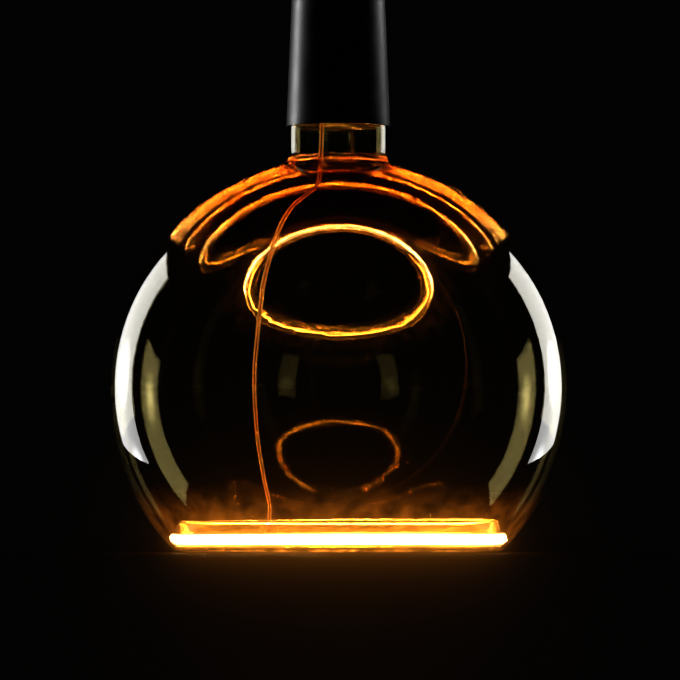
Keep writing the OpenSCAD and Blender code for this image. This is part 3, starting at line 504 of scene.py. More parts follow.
# The blown waves rise from the rounded corner and fade under the neck, and the ripple fades at the ring
WAVES_LOW_Z, WAVES_RISE = 6, 12
WAVES_TOP_Z, WAVES_FADE = 172, 20
RIPPLE_R, RIPPLE_FADE, RIPPLE_LENGTH = 66, 8, 16
OUTER_WAVE, INNER_WAVE, BOTTOM_RIPPLE = 0.05, 0.1, 0.12
BRIM_Z = NECK_TOP_Z - (GRIP_R - GRIP_BORE_R) / 2


def glass_side(radius, low, corner, neck, hollow, grip, top):
    """One side of the glass wall's section, from the axis out over the bottom and up to the neck's top."""
    corner_z = low + corner
    corner_r = math.sqrt((radius - corner) ** 2 - (GLOBE_Z - corner_z) ** 2)
    corner_angle = math.degrees(math.atan2(corner_z - GLOBE_Z, corner_r))
    hollow_r = neck + hollow
    hollow_z = GLOBE_Z + math.sqrt((radius + hollow) ** 2 - hollow_r ** 2)
    neck_angle = math.degrees(math.atan2(hollow_z - GLOBE_Z, hollow_r))
    bottom = [(corner_r * i / 20, low) for i in range(20)]
    straight = [(neck, hollow_z + (STEP_Z - hollow_z) * i / 3) for i in range(1, 3)]
    return (
        bottom
        + arc((corner_r, corner_z), corner, -90, corner_angle, 8)
        + arc((0, GLOBE_Z), radius, corner_angle, neck_angle, 58)[1:]
        + arc((hollow_r, hollow_z), hollow, 180 + neck_angle, 180, 10)[1:]
        + straight
        + arc((grip, STEP_Z), neck - grip, 0, 90, 4)
        + [(grip, top)]
    )


def blown_wave(angle, height, phase):
    """Long soft waves of a blown wall, from -1 to 1."""
    return (
        0.45 * math.sin(2 * angle + height / 31 + phase)
        + 0.35 * math.sin(3 * angle - height / 23 + 2.1 * phase + 1)
        + 0.2 * math.sin(5 * angle + height / 15 + 0.7 + phase)
    )


def blown(angle, radius, height):
    """Moves a point of the glass: the globe's two faces wave, and the bottom ripples inside only."""
    from_centre = math.hypot(radius, height - GLOBE_Z)
    if from_centre > GLOBE_R - GLASS_WALL / 2:
        push = OUTER_WAVE * (blown_wave(angle, height, 0.4) - 1)
    else:
        push = INNER_WAVE * blown_wave(angle, height, 2.6)
    push *= max(0, min(1, (WAVES_TOP_Z - height) / WAVES_FADE, (height - WAVES_LOW_Z) / WAVES_RISE))
    radius, height = radius * (1 + push / from_centre), height + push * (height - GLOBE_Z) / from_centre
    if abs(height - BOTTOM_WALL) < 0.01 and radius < RIPPLE_R:
        place = Vector((radius * math.cos(angle), radius * math.sin(angle), 0)) / RIPPLE_LENGTH
        height += BOTTOM_RIPPLE * noise.noise(place) * min(1, (RIPPLE_R - radius) / RIPPLE_FADE)
    return radius, height


outside = glass_side(GLOBE_R, 0, BOTTOM_ROUND, NECK_R, NECK_ROUND, GRIP_R, BRIM_Z)
inside = glass_side(
    GLOBE_R - GLASS_WALL, BOTTOM_WALL, BOTTOM_ROUND - BOTTOM_WALL, NECK_R - NECK_WALL, NECK_ROUND + NECK_WALL,
    GRIP_BORE_R, BRIM_Z)
brim = arc(((GRIP_R + GRIP_BORE_R) / 2, BRIM_Z), (GRIP_R - GRIP_BORE_R) / 2, 0, 180, 6)[1:-1]
glass = show(turned("blown_globe", outside + brim + inside[::-1], 448, blown), glass_finish)
stand_for(glass, "glass_globe")


# Light ring

# The lip leans in by so many millimetres, from so many radians beside the tail, over so many more
LIP_LEAN, TAIL_CLEAR, LEAN_RAMP = 1.2, 0.06, 0.1
# It also waves, inwards and downwards, by so many millimetres for each unit of a long and a short wave
LIP_WAVE_IN, LIP_WAVE_DOWN = 0.03, 0.025
SHORT_WAVE = 0.6
CARRIER_ROUND = 1
FOOT_ROUND = 0.3
FILLET = 0.6
WALL_STEPS = range(1, 6)
lip_r = (CARRIER_R - CARRIER_IN_R) / 2
corner_z = BOTTOM_WALL + CARRIER_ROUND


def soft_lip(angle, radius, height):
    """The moulded ring is a little uneven along its lip, and leans in at its top, but not at the tail."""
    rise = max(0, (height - FOOT_TOP_Z) / (LIP_Z - FOOT_TOP_Z))
    wave = math.sin(7 * angle + 0.5) + SHORT_WAVE * math.sin(17 * angle + 2)
    most = 1 + SHORT_WAVE
    from_tail = abs((angle - TAIL_AZIMUTH + math.pi) % TURN - math.pi)
    lean = LIP_LEAN * rise ** 5 * min(1, max(0, from_tail - TAIL_CLEAR) / LEAN_RAMP)
    return radius - lean - LIP_WAVE_IN * rise * (most - wave), height - LIP_WAVE_DOWN * rise * (most + wave)


carrier_section = (
    [(FOOT_IN_R + FOOT_ROUND, BOTTOM_WALL), (CARRIER_R - CARRIER_ROUND, BOTTOM_WALL)]
    + arc((CARRIER_R - CARRIER_ROUND, corner_z), CARRIER_ROUND, -90, 0, 6)[1:]
    + [(CARRIER_R, corner_z + (LIP_Z - corner_z) * i / 6) for i in WALL_STEPS]
    + arc((CARRIER_IN_R + lip_r, LIP_Z), lip_r, 0, 180, 12)
    + [(CARRIER_IN_R, LIP_Z - (LIP_Z - FOOT_TOP_Z - FILLET) * i / 6) for i in WALL_STEPS]
    + arc((CARRIER_IN_R - FILLET, FOOT_TOP_Z + FILLET), FILLET, 0, -90, 4)
    + arc((FOOT_IN_R + FOOT_ROUND, FOOT_TOP_Z - FOOT_ROUND), FOOT_ROUND, 90, 180, 3)
    + [(FOOT_IN_R, BOTTOM_WALL + FOOT_ROUND)]
)
carrier = show(turned("clear_ring", carrier_section, 480, soft_lip), ring_finish)
stand_for(carrier, "carrier_ring")


# Depth of the hollows that the coat has between the chips
COAT_SAG = 0.04


def dispensed(angle, radius, height):
    """The coat swells very slightly over each chip."""
    swell = math.cos(CHIP_COUNT * (angle - TAIL_AZIMUTH) + math.pi)
    outer = max(0, radius - COAT_R + COAT_ROUND) / COAT_ROUND
    return radius - COAT_SAG * outer * (1 - swell) / 2, height


# The coat has a groove on its inside, with room for the chips
CHIP_CLEARANCE = 0.1
groove_r = FLEX_R + CHIP_T + CHIP_CLEARANCE
groove_top = BAND_Z + CHIP_H / 2 + CHIP_CLEARANCE
groove_low = BAND_Z - CHIP_H / 2 - CHIP_CLEARANCE
coat_section = (
    [(COAT_IN_R, COAT_LOW_Z)]
    + arc((COAT_R - COAT_ROUND, COAT_LOW_Z + COAT_ROUND), COAT_ROUND, -90, 0, 8)
    + arc((COAT_R - COAT_ROUND, COAT_TOP_Z - COAT_ROUND), COAT_ROUND, 0, 90, 8)
    + [(COAT_IN_R, COAT_TOP_Z), (COAT_IN_R, groove_top), (groove_r, groove_top), (groove_r, groove_low),
       (COAT_IN_R, groove_low)]
)
coat = show(turned("glowing_coat", coat_section, CHIP_COUNT * 6, dispensed), glow_finish)
stand_for(coat, "phosphor_coat")


# Ways to follow a rule, for what repeats

def new_rule(name, **inputs):
    """An empty Geometry Nodes tree with named inputs, and what it is given."""
    tree = bpy.data.node_groups.new(name, "GeometryNodeTree")
    tree.interface.new_socket("Geometry", in_out="INPUT", socket_type="NodeSocketGeometry")
    for label, kind in inputs.items():
        tree.interface.new_socket(label, in_out="INPUT", socket_type=kind)
    tree.interface.new_socket("Geometry", in_out="OUTPUT", socket_type="NodeSocketGeometry")
    return tree, add_node(tree, "NodeGroupInput").outputs


def end_rule(tree, geometry, finish=None):
    """Ends a tree in Realize Instances and, where its parts have no finish of their own, in Set Material."""
    last = add_node(tree, "GeometryNodeRealizeInstances", {"Geometry": geometry})
    if finish:
        last = add_node(tree, "GeometryNodeSetMaterial", {"Geometry": last.outputs[0], "Material": finish})
    add_node(tree, "NodeGroupOutput", {"Geometry": last.outputs[0]})
    return tree


def follow_rule(name, tree, sizes, base=None):
    """Runs a tree on a base mesh and keeps the result as one plain piece."""
    holder = add_object(name + "_holder", base or bpy.data.meshes.new(name + "_base"))
    modifier = holder.modifiers.new("rule", "NODES")
    modifier.node_group = tree
    for item in tree.interface.items_tree:
        if item.in_out == "INPUT" and item.name in sizes:
            modifier[item.identifier] = sizes[item.name]
    graph = bpy.context.evaluated_depsgraph_get()
    mesh = bpy.data.meshes.new_from_object(
        holder.evaluated_get(graph), preserve_all_data_layers=True, depsgraph=graph)
    mesh.name = name
    # A base without a finish leaves an empty first slot
    if mesh.materials[0] is None:
        mesh.materials.pop(index=0)
    bpy.data.objects.remove(holder)
    return add_object(name, mesh)


# LED chips

CHIP_BODY_T = 0.36
WINDOW_SIZE = (0.9, 0.8)


def chip_rule():
    """A ceramic package with its phosphor window, repeated round the flexible board from beside its tail."""
    tree, given = new_rule(
        "chips_round_ring", Count="NodeSocketInt", Radius="NodeSocketFloat", Height="NodeSocketFloat",
        Package="NodeSocketVector", Window="NodeSocketVector")
    package = add_node(tree, "GeometryNodeMeshCube", {"Size": given["Package"]})
    window = add_node(tree, "GeometryNodeMeshCube", {"Size": given["Window"]})
    window_out = add_node(tree, "GeometryNodeTransform", {
        "Geometry": window.outputs["Mesh"], "Translation": (CHIP_BODY_T / 2 * MM, 0, 0)})
    chip = add_node(tree, "GeometryNodeJoinGeometry")
    for part, finish in ((package, package_finish), (window_out, window_finish)):
        dressed = add_node(tree, "GeometryNodeSetMaterial", {"Geometry": part.outputs[0], "Material": finish})
        tree.links.new(dressed.outputs[0], chip.inputs[0])
    circle = add_node(tree, "GeometryNodeMeshCircle", {"Vertices": given["Count"], "Radius": given["Radius"]})
    spot = add_node(tree, "GeometryNodeInputPosition")
    facing = add_node(
        tree, "FunctionNodeAlignRotationToVector", {"Vector": spot.outputs[0]}, axis="X", pivot_axis="Z")
    placed = add_node(tree, "GeometryNodeInstanceOnPoints", {
        "Points": circle.outputs["Mesh"], "Instance": chip.outputs[0], "Rotation": facing.outputs[0]})
    half_step = add_node(tree, "GeometryNodeTransform", {
        "Geometry": placed.outputs[0], "Rotation": (0, 0, TAIL_AZIMUTH + math.pi / CHIP_COUNT)})
    lift = add_node(tree, "ShaderNodeCombineXYZ", {"Z": given["Height"]})
    raised = add_node(tree, "GeometryNodeTransform", {
        "Geometry": half_step.outputs[0], "Translation": lift.outputs[0]})
    return end_rule(tree, raised.outputs[0])


chips = follow_rule("chips_round_ring", chip_rule(), {
    "Count": CHIP_COUNT, "Radius": (FLEX_R + CHIP_BODY_T / 2) * MM, "Height": BAND_Z * MM,
    "Package": (CHIP_BODY_T * MM, CHIP_W * MM, CHIP_H * MM),
    "Window": (CHIP_BODY_T * MM, WINDOW_SIZE[0] * MM, WINDOW_SIZE[1] * MM)})
stand_for(chips, "led_chips")


# Lead

LEAD_END_R = 67.5
LEAD_ROUTE = (
    [(-7, 0, 200), (-7, 0, 194), (-7, 0, 186), (-7.5, 0.5, 173), (-8, 1, 165.5)]
    + [
        (GLOBE_R * x, GLOBE_R * y, GLOBE_R * z + GLOBE_Z) for x, y, z in (
            (-0.09, 0.02, 0.885), (-0.135, 0.04, 0.84), (-0.195, 0.07, 0.795), (-0.24, 0.11, 0.73),
            (-0.275, 0.155, 0.65), (-0.305, 0.21, 0.55), (-0.33, 0.26, 0.45), (-0.345, 0.315, 0.33),
            (-0.36, 0.37, 0.2), (-0.37, 0.42, 0.085), (-0.37, 0.46, -0.025), (-0.365, 0.5, -0.13),
            (-0.355, 0.535, -0.24), (-0.335, 0.575, -0.37))
    ]
    + [
        (LEAD_END_R * math.cos(TAIL_AZIMUTH), LEAD_END_R * math.sin(TAIL_AZIMUTH), BOTTOM_WALL + up)
        for up in (18, 12, 7.5)
    ]
)
WEB_ANGLE = 146
JACKET_STEPS = 9
BORE_SIDES = 12
STRAND_R = 0.1
STRAND_RING_R = 0.195
STRAND_LAY = 6
STRAND_COUNT = 6


def smooth_route(points, steps):
    """A smooth line through all the points, as the CAD source draws it, with more steps."""
    points = [Vector(p) for p in points]
    line = []
    for i in range(len(points) - 1):
        a, b, c, d = points[max(i - 1, 0)], points[i], points[i + 1], points[min(i + 2, len(points) - 1)]
        for s in range(steps):
            t = s / steps
            line.append((2 * b + (c - a) * t + (2 * a - 5 * b + 4 * c - d) * t ** 2
                         + (3 * b - a - 3 * c + d) * t ** 3) / 2)
    return line + [points[-1]]


lead_line = smooth_route(LEAD_ROUTE, 8)
lead_inwards = Vector((-math.cos(TAIL_AZIMUTH), -math.sin(TAIL_AZIMUTH), 0))


def lead_frame(line, i):
    """Directions across and out of the flat lead at a point. Its face turns from the front to the ring."""
    share = min(i / (len(lead_line) - 1), 1)
    heading = (line[min(i + 1, len(line) - 1)] - line[max(i - 1, 0)]).normalized()
    across = (Vector((0, -1, 0)) * (1 - share) + lead_inwards * share).cross(heading).normalized()
    return across, heading.cross(across)


def sweep_outline(line, outline):
    """Rings of points in metres: the outline in mm, set across the lead at each point of the line."""
    rings = []
    for i, point in enumerate(line):
        across, out = lead_frame(line, i)
        rings.append([(point + across * x + out * y) * MM for x, y in outline])
    return rings


def jacket_outlines():
    """Outlines of the jacket, a figure of eight, and of its bore for each core."""
    wire_angles = [
        math.radians(-WEB_ANGLE + 2 * WEB_ANGLE * k / JACKET_STEPS) for k in range(JACKET_STEPS + 1)]
    right_arc = [(WIRE_R + WIRE_R * math.cos(a), WIRE_R * math.sin(a)) for a in wire_angles]
    left_arc = [(-x, -y) for x, y in right_arc]
    outlines = [[(0, WEB_T / 2)] + left_arc + [(0, -WEB_T / 2)] + right_arc]
    bore_angles = [math.pi + (k + 0.5) * TURN / BORE_SIDES for k in range(BORE_SIDES)]
    for side in (-1, 1):
        outlines.append([(side * WIRE_R + CORE_R * math.cos(a), CORE_R * math.sin(a)) for a in bore_angles])
    return outlines


def twin_jacket(name):
    """Mesh of the jacket round its two bores, closed at both ends."""
    bm = bmesh.new()
    walls = []
    for outline in jacket_outlines():
        rings = [[bm.verts.new(p) for p in ring] for ring in sweep_outline(lead_line, outline)]
        skin(bm, rings, rows_closed=False)
        walls.append(rings)
    for end in (0, -1):
        edges = []
        for rings in walls:
            ring = rings[end]
            edges += [bm.edges.get((ring[k], ring[(k + 1) % len(ring)])) for k in range(len(ring))]
        bmesh.ops.triangle_fill(bm, edges=edges, use_beauty=True)
    return finished_mesh(name, bm)


def strand_rule():
    """Fine strands laid round one in the middle, following the line of a wire."""
    tree, given = new_rule(
        "laid_strands", Strand="NodeSocketFloat", Ring="NodeSocketFloat", Lay="NodeSocketFloat",
        Count="NodeSocketInt")
    wire_line = add_node(tree, "GeometryNodeMeshToCurve", {"Mesh": given["Geometry"]})
    round_wire = add_node(tree, "GeometryNodeCurvePrimitiveCircle", {
        "Radius": given["Strand"], "Resolution": 6})
    copies = add_node(tree, "GeometryNodeDuplicateElements", {
        "Geometry": wire_line.outputs[0], "Amount": given["Count"]}, domain="SPLINE")
    along = add_node(tree, "GeometryNodeSplineParameter")
    turns = add_node(tree, "ShaderNodeMath", {
        0: along.outputs["Length"], 1: given["Lay"]}, operation="DIVIDE")
    share = add_node(tree, "ShaderNodeMath", {
        0: copies.outputs["Duplicate Index"], 1: given["Count"]}, operation="DIVIDE")
    whole = add_node(tree, "ShaderNodeMath", {0: turns.outputs[0], 1: share.outputs[0]}, operation="ADD")
    angle = add_node(tree, "ShaderNodeMath", {0: whole.outputs[0], 1: TURN}, operation="MULTIPLY")
    normal = add_node(tree, "GeometryNodeInputNormal")
    tangent = add_node(tree, "GeometryNodeInputTangent")
    side = add_node(tree, "ShaderNodeVectorMath", {
        0: tangent.outputs[0], 1: normal.outputs[0]}, operation="CROSS_PRODUCT")
    legs = []
    for direction, function in ((normal, "COSINE"), (side, "SINE")):
        amount = add_node(tree, "ShaderNodeMath", {0: angle.outputs[0]}, operation=function)
        legs.append(add_node(tree, "ShaderNodeVectorMath", {
            0: direction.outputs[0], "Scale": amount.outputs[0]}, operation="SCALE"))
    both = add_node(tree, "ShaderNodeVectorMath", {
        0: legs[0].outputs[0], 1: legs[1].outputs[0]}, operation="ADD")
    offset = add_node(tree, "ShaderNodeVectorMath", {
        0: both.outputs[0], "Scale": given["Ring"]}, operation="SCALE")
    laid = add_node(tree, "GeometryNodeSetPosition", {
        "Geometry": copies.outputs[0], "Offset": offset.outputs[0]})
    strands = add_node(tree, "GeometryNodeJoinGeometry")
    for line in (wire_line, laid):
        tube = add_node(tree, "GeometryNodeCurveToMesh", {
            "Curve": line.outputs[0], "Profile Curve": round_wire.outputs[0], "Fill Caps": True})
        tree.links.new(tube.outputs[0], strands.inputs[0])
    rounded = add_node(tree, "GeometryNodeSetShadeSmooth", {"Geometry": strands.outputs[0]})
    return end_rule(tree, rounded.outputs[0], copper_finish)


jacket = show(twin_jacket("clear_twin_jacket"), jacket_finish)
stand_for(jacket, "lead_jacket")

# Each core is one strand in the middle with six round it, and stands bare under the jacket's end
laid_strands = strand_rule()
core_line = lead_line + [lead_line[-1] - Vector((0, 0, LEAD_BARE * k / 3)) for k in (1, 2, 3)]
for label, way in (("left", -1), ("right", 1)):
    middle = [p[0] for p in sweep_outline(core_line, [(way * WIRE_R, 0)])]
    base = bpy.data.meshes.new("core_middle_" + label)
    base.from_pydata(middle, [(i, i + 1) for i in range(len(middle) - 1)], [])
    core = follow_rule("copper_strands_" + label, laid_strands, {
        "Strand": STRAND_R * MM, "Ring": STRAND_RING_R * MM, "Lay": STRAND_LAY * MM,
        "Count": STRAND_COUNT}, base)
    stand_for(core, "lead_core_" + label)


# Sleeve

# Rows at every 4 mm keep the soft shading of the rolled edges off the straight taper
SLEEVE_ROWS = [SLEEVE_Z + 4 * i for i in range(1, 15)]
SLEEVE_EDGE = 0.15
low_edge_r = SLEEVE_WALL / 2


def sleeve_r(height):
    """Outer radius of the tapered sleeve."""
    return SLEEVE_LOW_R - (SLEEVE_LOW_R - SLEEVE_TOP_R) * (height - SLEEVE_Z) / (SLEEVE_TOP_Z - SLEEVE_Z)


sleeve_section = (
    arc((sleeve_r(SLEEVE_Z) - low_edge_r, SLEEVE_Z + low_edge_r), low_edge_r, -180, 0, 8)
    + [(sleeve_r(z), z) for z in SLEEVE_ROWS]
    + [(SLEEVE_TOP_R, SLEEVE_TOP_Z - SLEEVE_EDGE), (SLEEVE_TOP_R - SLEEVE_EDGE, SLEEVE_TOP_Z)]
    + [(SLEEVE_TOP_R - SLEEVE_WALL, SLEEVE_TOP_Z)]
    + [(sleeve_r(z) - SLEEVE_WALL, z) for z in reversed(SLEEVE_ROWS)]
)
sleeve = show(turned("black_sleeve", sleeve_section, 256), coat_finish)
stand_for(sleeve, "outer_sleeve")


# Screw cap's shell: a sheet rolled into a rounded thread, with a plain skirt under it and a turned-in rim

SHELL_COLUMNS = 144
THREAD_ROWS = 84

# The skirt is rolled in at both ends, and plain rows beside its foot keep the shading of the roll off it
SKIRT_ROLL = 0.1
SKIRT_FOOT_H = 0.25
SKIRT_PLAIN_H = 1.5
SKIRT_TOP_Z = THREAD_Z - 0.6
SKIRT_BEND_H = 0.3


def shell_rows():
    """Heights, plain radii and shares of the thread's depth, from the skirt up and back down inside."""
    plain = (CAP_Z + SKIRT_FOOT_H, CAP_Z + SKIRT_PLAIN_H, SKIRT_TOP_Z - SKIRT_BEND_H)
    rows = [(CAP_Z, SKIRT_R - SKIRT_ROLL, 0)]
    rows += [(z, SKIRT_R, 0) for z in plain]
    rows += [(SKIRT_TOP_Z, SKIRT_R - SKIRT_ROLL, 0)]
    for i in range(THREAD_ROWS + 1):
        height = THREAD_Z + (THREAD_TOP_Z - THREAD_Z) * i / THREAD_ROWS
        ends = min(1, 2 * (height - THREAD_Z) / THREAD_PITCH, 2 * (THREAD_TOP_Z - height) / THREAD_PITCH)
        rows.append((height, ROOT_R, max(0, ends)))
    round_z = SHELL_TOP_Z - SHELL_ROUND
    rows += [(round_z, ROOT_R, 0)]
    rows += [(z, r, 0) for r, z in arc((ROOT_R - SHELL_ROUND, round_z), SHELL_ROUND, 15, 90, 5)]
    rows += [(SHELL_TOP_Z, SHELL_RIM_R, 0)]
    rim = [(SHELL_TOP_Z - SHELL_T, SHELL_RIM_R, 0), (SHELL_TOP_Z - SHELL_T, ROOT_R - SHELL_ROUND, 0)]
    back = [(z, r - SHELL_T, share) for z, r, share in rows if z < round_z + 0.01]
    return rows + rim + back[::-1]


def rolled_shell(name):
    """Mesh of the shell, whose thread climbs by its pitch in each turn."""
    bm = bmesh.new()
    rings = []
    for height, plain_r, share in shell_rows():
        ring = []
        for k in range(SHELL_COLUMNS):
            a = TURN * k / SHELL_COLUMNS
            lift = 0.5 - 0.5 * math.cos(TURN * (height - THREAD_Z) / THREAD_PITCH - a)
            r = (plain_r + share * (THREAD_R - ROOT_R) * lift) * MM
            ring.append(bm.verts.new((r * math.cos(a), r * math.sin(a), height * MM)))
        rings.append(ring)
    skin(bm, rings)
    return finished_mesh(name, bm)


shell = show(rolled_shell("rolled_thread_shell"), nickel_finish)
stand_for(shell, "screw_shell")


# Wound parts on the driver board

# Radii of their wires and of the winding's corners, and the bevel on the drum's edges
WINDING_WIRE = 0.15
CHOKE_WIRE = 0.15
WINDING_CORNER = 0.6
DRUM_EDGE = 0.2


def winding_rule():
    """One layer of enamelled wire: a turn with rounded corners, repeated along the axis round a body."""
    tree, given = new_rule(
        "wound_turns", Width="NodeSocketFloat", Depth="NodeSocketFloat", Corner="NodeSocketFloat",
        Wire="NodeSocketFloat", Count="NodeSocketInt")
    outline = add_node(tree, "GeometryNodeCurvePrimitiveQuadrilateral", {
        "Width": given["Width"], "Height": given["Depth"]})
    rounded = add_node(tree, "GeometryNodeFilletCurve", {
        "Curve": outline.outputs["Curve"], "Count": 8, "Radius": given["Corner"], "Limit Radius": True},
        mode="POLY")
    wire = add_node(tree, "GeometryNodeCurvePrimitiveCircle", {"Radius": given["Wire"], "Resolution": 8})
    turn = add_node(tree, "GeometryNodeCurveToMesh", {
        "Curve": rounded.outputs["Curve"], "Profile Curve": wire.outputs["Curve"]})
    enamelled = add_node(tree, "GeometryNodeSetMaterial", {
        "Geometry": turn.outputs["Mesh"], "Material": enamel_finish})
    pitch = add_node(tree, "ShaderNodeMath", {0: given["Wire"], 1: 2}, operation="MULTIPLY")
    steps = add_node(tree, "ShaderNodeMath", {0: given["Count"], 1: 1}, operation="SUBTRACT")
    first = add_node(tree, "ShaderNodeMath", {0: given["Wire"], 1: steps.outputs[0]}, operation="MULTIPLY")
    below = add_node(tree, "ShaderNodeMath", {0: first.outputs[0], 1: -1}, operation="MULTIPLY")
    start = add_node(tree, "ShaderNodeCombineXYZ", {"Z": below.outputs[0]})
    spacing = add_node(tree, "ShaderNodeCombineXYZ", {"Z": pitch.outputs[0]})
    row = add_node(tree, "GeometryNodeMeshLine", {
        "Count": given["Count"], "Start Location": start.outputs[0], "Offset": spacing.outputs[0]})
    layer = add_node(tree, "GeometryNodeInstanceOnPoints", {
        "Points": row.outputs["Mesh"], "Instance": enamelled.outputs["Geometry"]})
    wound = add_node(tree, "GeometryNodeJoinGeometry")
    for part in (given["Geometry"], layer.outputs["Instances"]):
        tree.links.new(part, wound.inputs[0])
    return end_rule(tree, wound.outputs[0])


wound_turns = winding_rule()


def wind(name, body, width, depth, corner, wire, height):
    """A body with a layer of wire on it. The sizes in mm are those of a turn's middle line and the layer."""
    return follow_rule(name, wound_turns, {
        "Width": width * MM, "Depth": depth * MM, "Corner": corner * MM, "Wire": wire * MM,
        "Count": int(height / (2 * wire))}, body)


def packed_wire():
    """The wire under the top layer, as a four-sided tube on its bobbin."""
    half = [(WINDING_SIZE[i] / 2 - WINDING_WIRE) * MM for i in (0, 1)]
    bore = [WINDING_BORE[i] / 2 * MM for i in (0, 1)]
    rise = WINDING_SIZE[2] / 2 * MM
    corners = [
        (x * side[0], y * side[1], z) for z in (-rise, rise) for side in (half, bore)
        for x, y in ((-1, -1), (1, -1), (1, 1), (-1, 1))]
    faces = []
    for k in range(4):
        m = (k + 1) % 4
        faces += [
            (k, m, 8 + m, 8 + k), (4 + m, 4 + k, 12 + k, 12 + m),
            (m, k, 4 + k, 4 + m), (8 + k, 8 + m, 12 + m, 12 + k)]
    mesh = bpy.data.meshes.new("packed_wire")
    mesh.from_pydata(corners, [], faces)
    mesh.materials.append(enamel_finish)
    return mesh


# The transformer's winding is four-sided in plan and fills its bobbin down to the tube
winding = wind(
    "wound_transformer_layer", packed_wire(), WINDING_SIZE[0] - 2 * WINDING_WIRE,
    WINDING_SIZE[1] - 2 * WINDING_WIRE, WINDING_CORNER, WINDING_WIRE, WINDING_SIZE[2])
winding.data.transform(Matrix.Translation([x * MM for x in WINDING_PLACE]))
stand_for(winding, "transformer_winding")

# The choke is wound on a drum of ferrite with two flanges, which stands out from the board's back
half_drum = CHOKE_H / 2
wound_r = CHOKE_WOUND_R - CHOKE_WIRE
drum_top = [
    (wound_r, half_drum - CHOKE_FLANGE), (CHOKE_R, half_drum - CHOKE_FLANGE),
    (CHOKE_R, half_drum - DRUM_EDGE), (CHOKE_R - DRUM_EDGE, half_drum), (0, half_drum)]
drum = turned("ferrite_drum", [(r, -z) for r, z in reversed(drum_top)] + drum_top, 64)
drum.materials.append(ferrite_finish)
choke = wind(
    "wound_drum_choke", drum, 2 * wound_r, 2 * wound_r, wound_r, CHOKE_WIRE, CHOKE_H - 2 * CHOKE_FLANGE)
choke.data.transform(
    Matrix.Translation([x * MM for x in CHOKE_PLACE]) @ Matrix.Rotation(-math.pi / 2, 4, "X"))
stand_for(choke, "filter_choke")


# CAD pieces that keep their shape

for finish, nodes in (
    (flex_finish, ["flex_board", "flex_tail"]),
    (solder_finish, ["solder_joints", "board_solder", "contact_solder"]),
    (jacket_finish, ["adhesive_beads"]),
    (white_finish, ["neck_plug", "inner_liner", "output_connector", "transformer_bobbin"]),
    (grommet_finish, ["lead_grommet"]),
    (cement_finish, ["neck_cement"]),
    (board_finish, ["driver_board"]),
    (sleeve_film_finish, ["bulk_capacitor"]),
    (film_finish, ["film_capacitor"]),
    (varistor_finish, ["varistor"]),
    (epoxy_finish, [
        "bridge_rectifier", "driver_chip", "power_transistor", "chip_resistors", "fusible_resistor"]),
    (ferrite_finish, ["transformer_core"]),
    (brown_finish, ["live_wire"]),
    (blue_finish, ["neutral_wire"]),
    (crown_finish, ["crown"]),
    (vitrite_finish, ["shell_insulator"]),
    (brass_finish, ["centre_contact"]),
):
    for name in nodes:
        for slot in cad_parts[name].material_slots:
            slot.material = finish


# What the clear and the lit pieces don't do

# Clear pieces throw no shadow, because light goes through them
for piece in (glass, carrier, jacket):
    piece.visible_shadow = False
# The band shows in the floor's sheen alone and doesn't light its paint, so that the floor stays dark
for piece in (carrier, coat):
    piece.visible_diffuse = False


# Floor: pale paint with a faint sheen, so that the lit ring shows softly in it under the bulb

FLOOR_R = 9
FLOOR_DROP = 0.0005


def painted_floor():
    finish, tree, place = new_finish("pale_painted_floor")
    cloud = add_node(tree, "ShaderNodeTexNoise", {"Vector": place, "Scale": pattern_scale(150), "Detail": 3})
    paint = add_node(tree, "ShaderNodeValToRGB", {"Fac": cloud.outputs["Fac"]}, stops=[
        (0.3, light_of("#F1F0ED")), (0.7, light_of("#F5F4F2"))])
    matt = add_node(tree, "ShaderNodeBsdfDiffuse", {"Color": paint.outputs["Color"]})
    sheen = add_node(tree, "ShaderNodeBsdfGlossy", {
        "Color": light_of("#1A1A1A"), "Roughness": 0.38}, distribution="BECKMANN")
    return close_finish(finish, add_node(tree, "ShaderNodeAddShader", {
        0: matt.outputs[0], 1: sheen.outputs[0]}))


bm = bmesh.new()
bmesh.ops.create_circle(bm, cap_ends=True, segments=96, radius=FLOOR_R)
bmesh.ops.translate(bm, verts=bm.verts, vec=(0, 0, -FLOOR_DROP))
floor_mesh = bpy.data.meshes.new("floor")
bm.to_mesh(floor_mesh)
bm.free()
floor = show(floor_mesh, painted_floor())
floor.visible_glossy = False


# Softboxes behind the bulb

# Two tall ones are turned in towards the bulb, and their lamps show in their cloths as a bright spot. They
# light the bulb and not the floor, whose light is that of the studio's air. The right one's corners and its
# lamp's place are in metres
SOFTBOX_CORNERS = (
    (0.320, 0.307, -0.005), (0.523, 0.241, -0.135), (0.523, 0.241, 0.415), (0.320, 0.307, 0.335))
SOFTBOX_LAMP = (0.42, 0.274, 0.105)
SOFTBOX_SPOT_R = 0.08


def lit_cloth():
    finish, tree, place = new_finish("softbox_cloth")
    folded = add_node(tree, "ShaderNodeVectorMath", {0: place}, operation="ABSOLUTE")
    from_lamp = add_node(tree, "ShaderNodeVectorMath", {
        0: folded.outputs[0], 1: SOFTBOX_LAMP}, operation="DISTANCE")
    shine = add_node(tree, "ShaderNodeMapRange", {
        "Value": from_lamp.outputs["Value"], "From Min": 0, "From Max": SOFTBOX_SPOT_R,
        "To Min": 3.6, "To Max": 1.1}, interpolation_type="SMOOTHSTEP")
    turned_away = add_node(tree, "ShaderNodeNewGeometry").outputs["Backfacing"]
    glowing = add_node(tree, "ShaderNodeEmission", {"Strength": shine.outputs["Result"]})
    dark = add_node(tree, "ShaderNodeBsdfDiffuse", {"Color": light_of("#101010")})
    return close_finish(finish, add_node(tree, "ShaderNodeMixShader", {
        0: turned_away, 1: glowing.outputs[0], 2: dark.outputs[0]}))


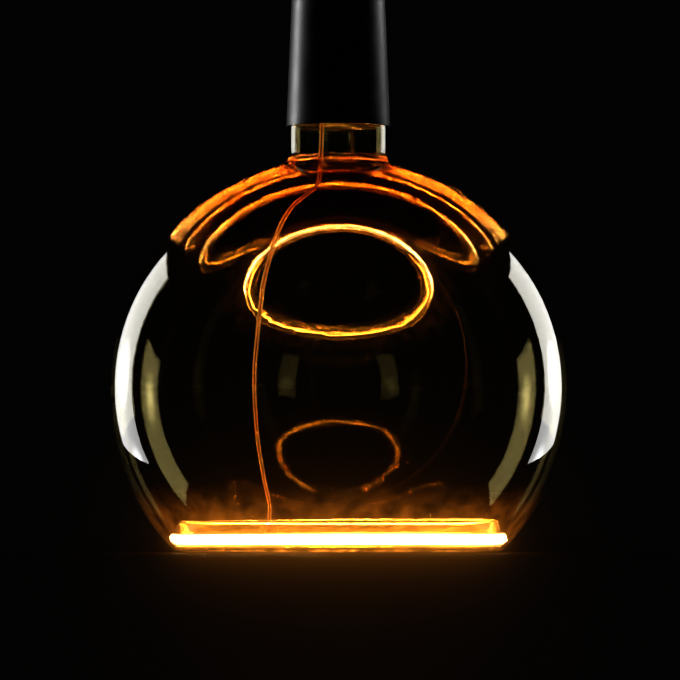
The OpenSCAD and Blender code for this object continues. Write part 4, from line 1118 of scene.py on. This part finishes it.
beyond_floor = bpy.data.collections.new("all_but_floor")
beyond_floor.objects.link(floor)
beyond_floor.collection_objects[0].light_linking.link_state = "EXCLUDE"
cloth_finish = lit_cloth()
for side in (-1, 1):
    cloth = bpy.data.meshes.new("tall_softbox")
    cloth.from_pydata(
        [(side * x, y, z) for x, y, z in SOFTBOX_CORNERS], [], [(0, 1, 2, 3) if side > 0 else (3, 2, 1, 0)])
    softbox = show(cloth, cloth_finish)
    softbox.visible_camera = False
    softbox.light_linking.receiver_collection = beyond_floor

# Three more light only the black housing and its cap, whose edges would be lost in the dark. Each has a
# place in metres and a power in watts
HOUSING_LIGHTS = (((0.49, 0.34, 0.26), 5.5), ((-0.53, 0.25, 0.26), 3.6), ((0.1, 0.5, 0.7), 2))
HOUSING_LIGHT_SIZE = (0.1, 0.5)
HOUSING_MIDDLE = Vector((0, 0, 0.24))
cap_nodes = [
    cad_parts[name] for name in ("crown", "shell_insulator", "centre_contact", "contact_solder")]
housing = bpy.data.collections.new("housing_only")
for piece in [sleeve, shell] + cap_nodes:
    housing.objects.link(piece)
for place, power in HOUSING_LIGHTS:
    lamp = bpy.data.lights.new("housing_softbox", "AREA")
    lamp.shape = "RECTANGLE"
    lamp.size, lamp.size_y = HOUSING_LIGHT_SIZE
    lamp.energy = power
    light = add_object("housing_softbox", lamp)
    light.location = place
    light.rotation_euler = (Vector(place) - HOUSING_MIDDLE).to_track_quat("Z", "Y").to_euler()
    light.light_linking.receiver_collection = housing


# Air, picture and glow

world = bpy.data.worlds.new("studio_air")
scene.world = world
world.use_nodes = True
world.node_tree.nodes.clear()
air = add_node(world.node_tree, "ShaderNodeBackground", {"Color": light_of("#FFFFFF"), "Strength": 0.005})
add_node(world.node_tree, "ShaderNodeOutputWorld", {"Surface": air.outputs[0]})

scene.view_settings.view_transform = "Standard"
scene.view_settings.look = "Very High Contrast"

# The lens spreads a little of the band's light round it, as a soft orange glow
scene.use_nodes = True
scene.node_tree.nodes.clear()
seen = add_node(scene.node_tree, "CompositorNodeRLayers")
spread = add_node(scene.node_tree, "CompositorNodeGlare", {
    "Image": seen.outputs["Image"], "Threshold": 1, "Smoothness": 0.1, "Strength": 0.06, "Size": 0.5,
    "Tint": (1, 0.8, 0.3, 1)}, glare_type="BLOOM", quality="HIGH")
add_node(scene.node_tree, "CompositorNodeComposite", {"Image": spread.outputs["Image"]})

# Light passes many walls of glass and silicone before it reaches the lens
scene.cycles.max_bounces = 24
scene.cycles.transmission_bounces = 24
scene.cycles.transparent_max_bounces = 24
scene.cycles.glossy_bounces = 12
scene.cycles.diffuse_bounces = 3
scene.cycles.caustics_reflective = False
scene.cycles.caustics_refractive = False
scene.cycles.sample_clamp_indirect = 0
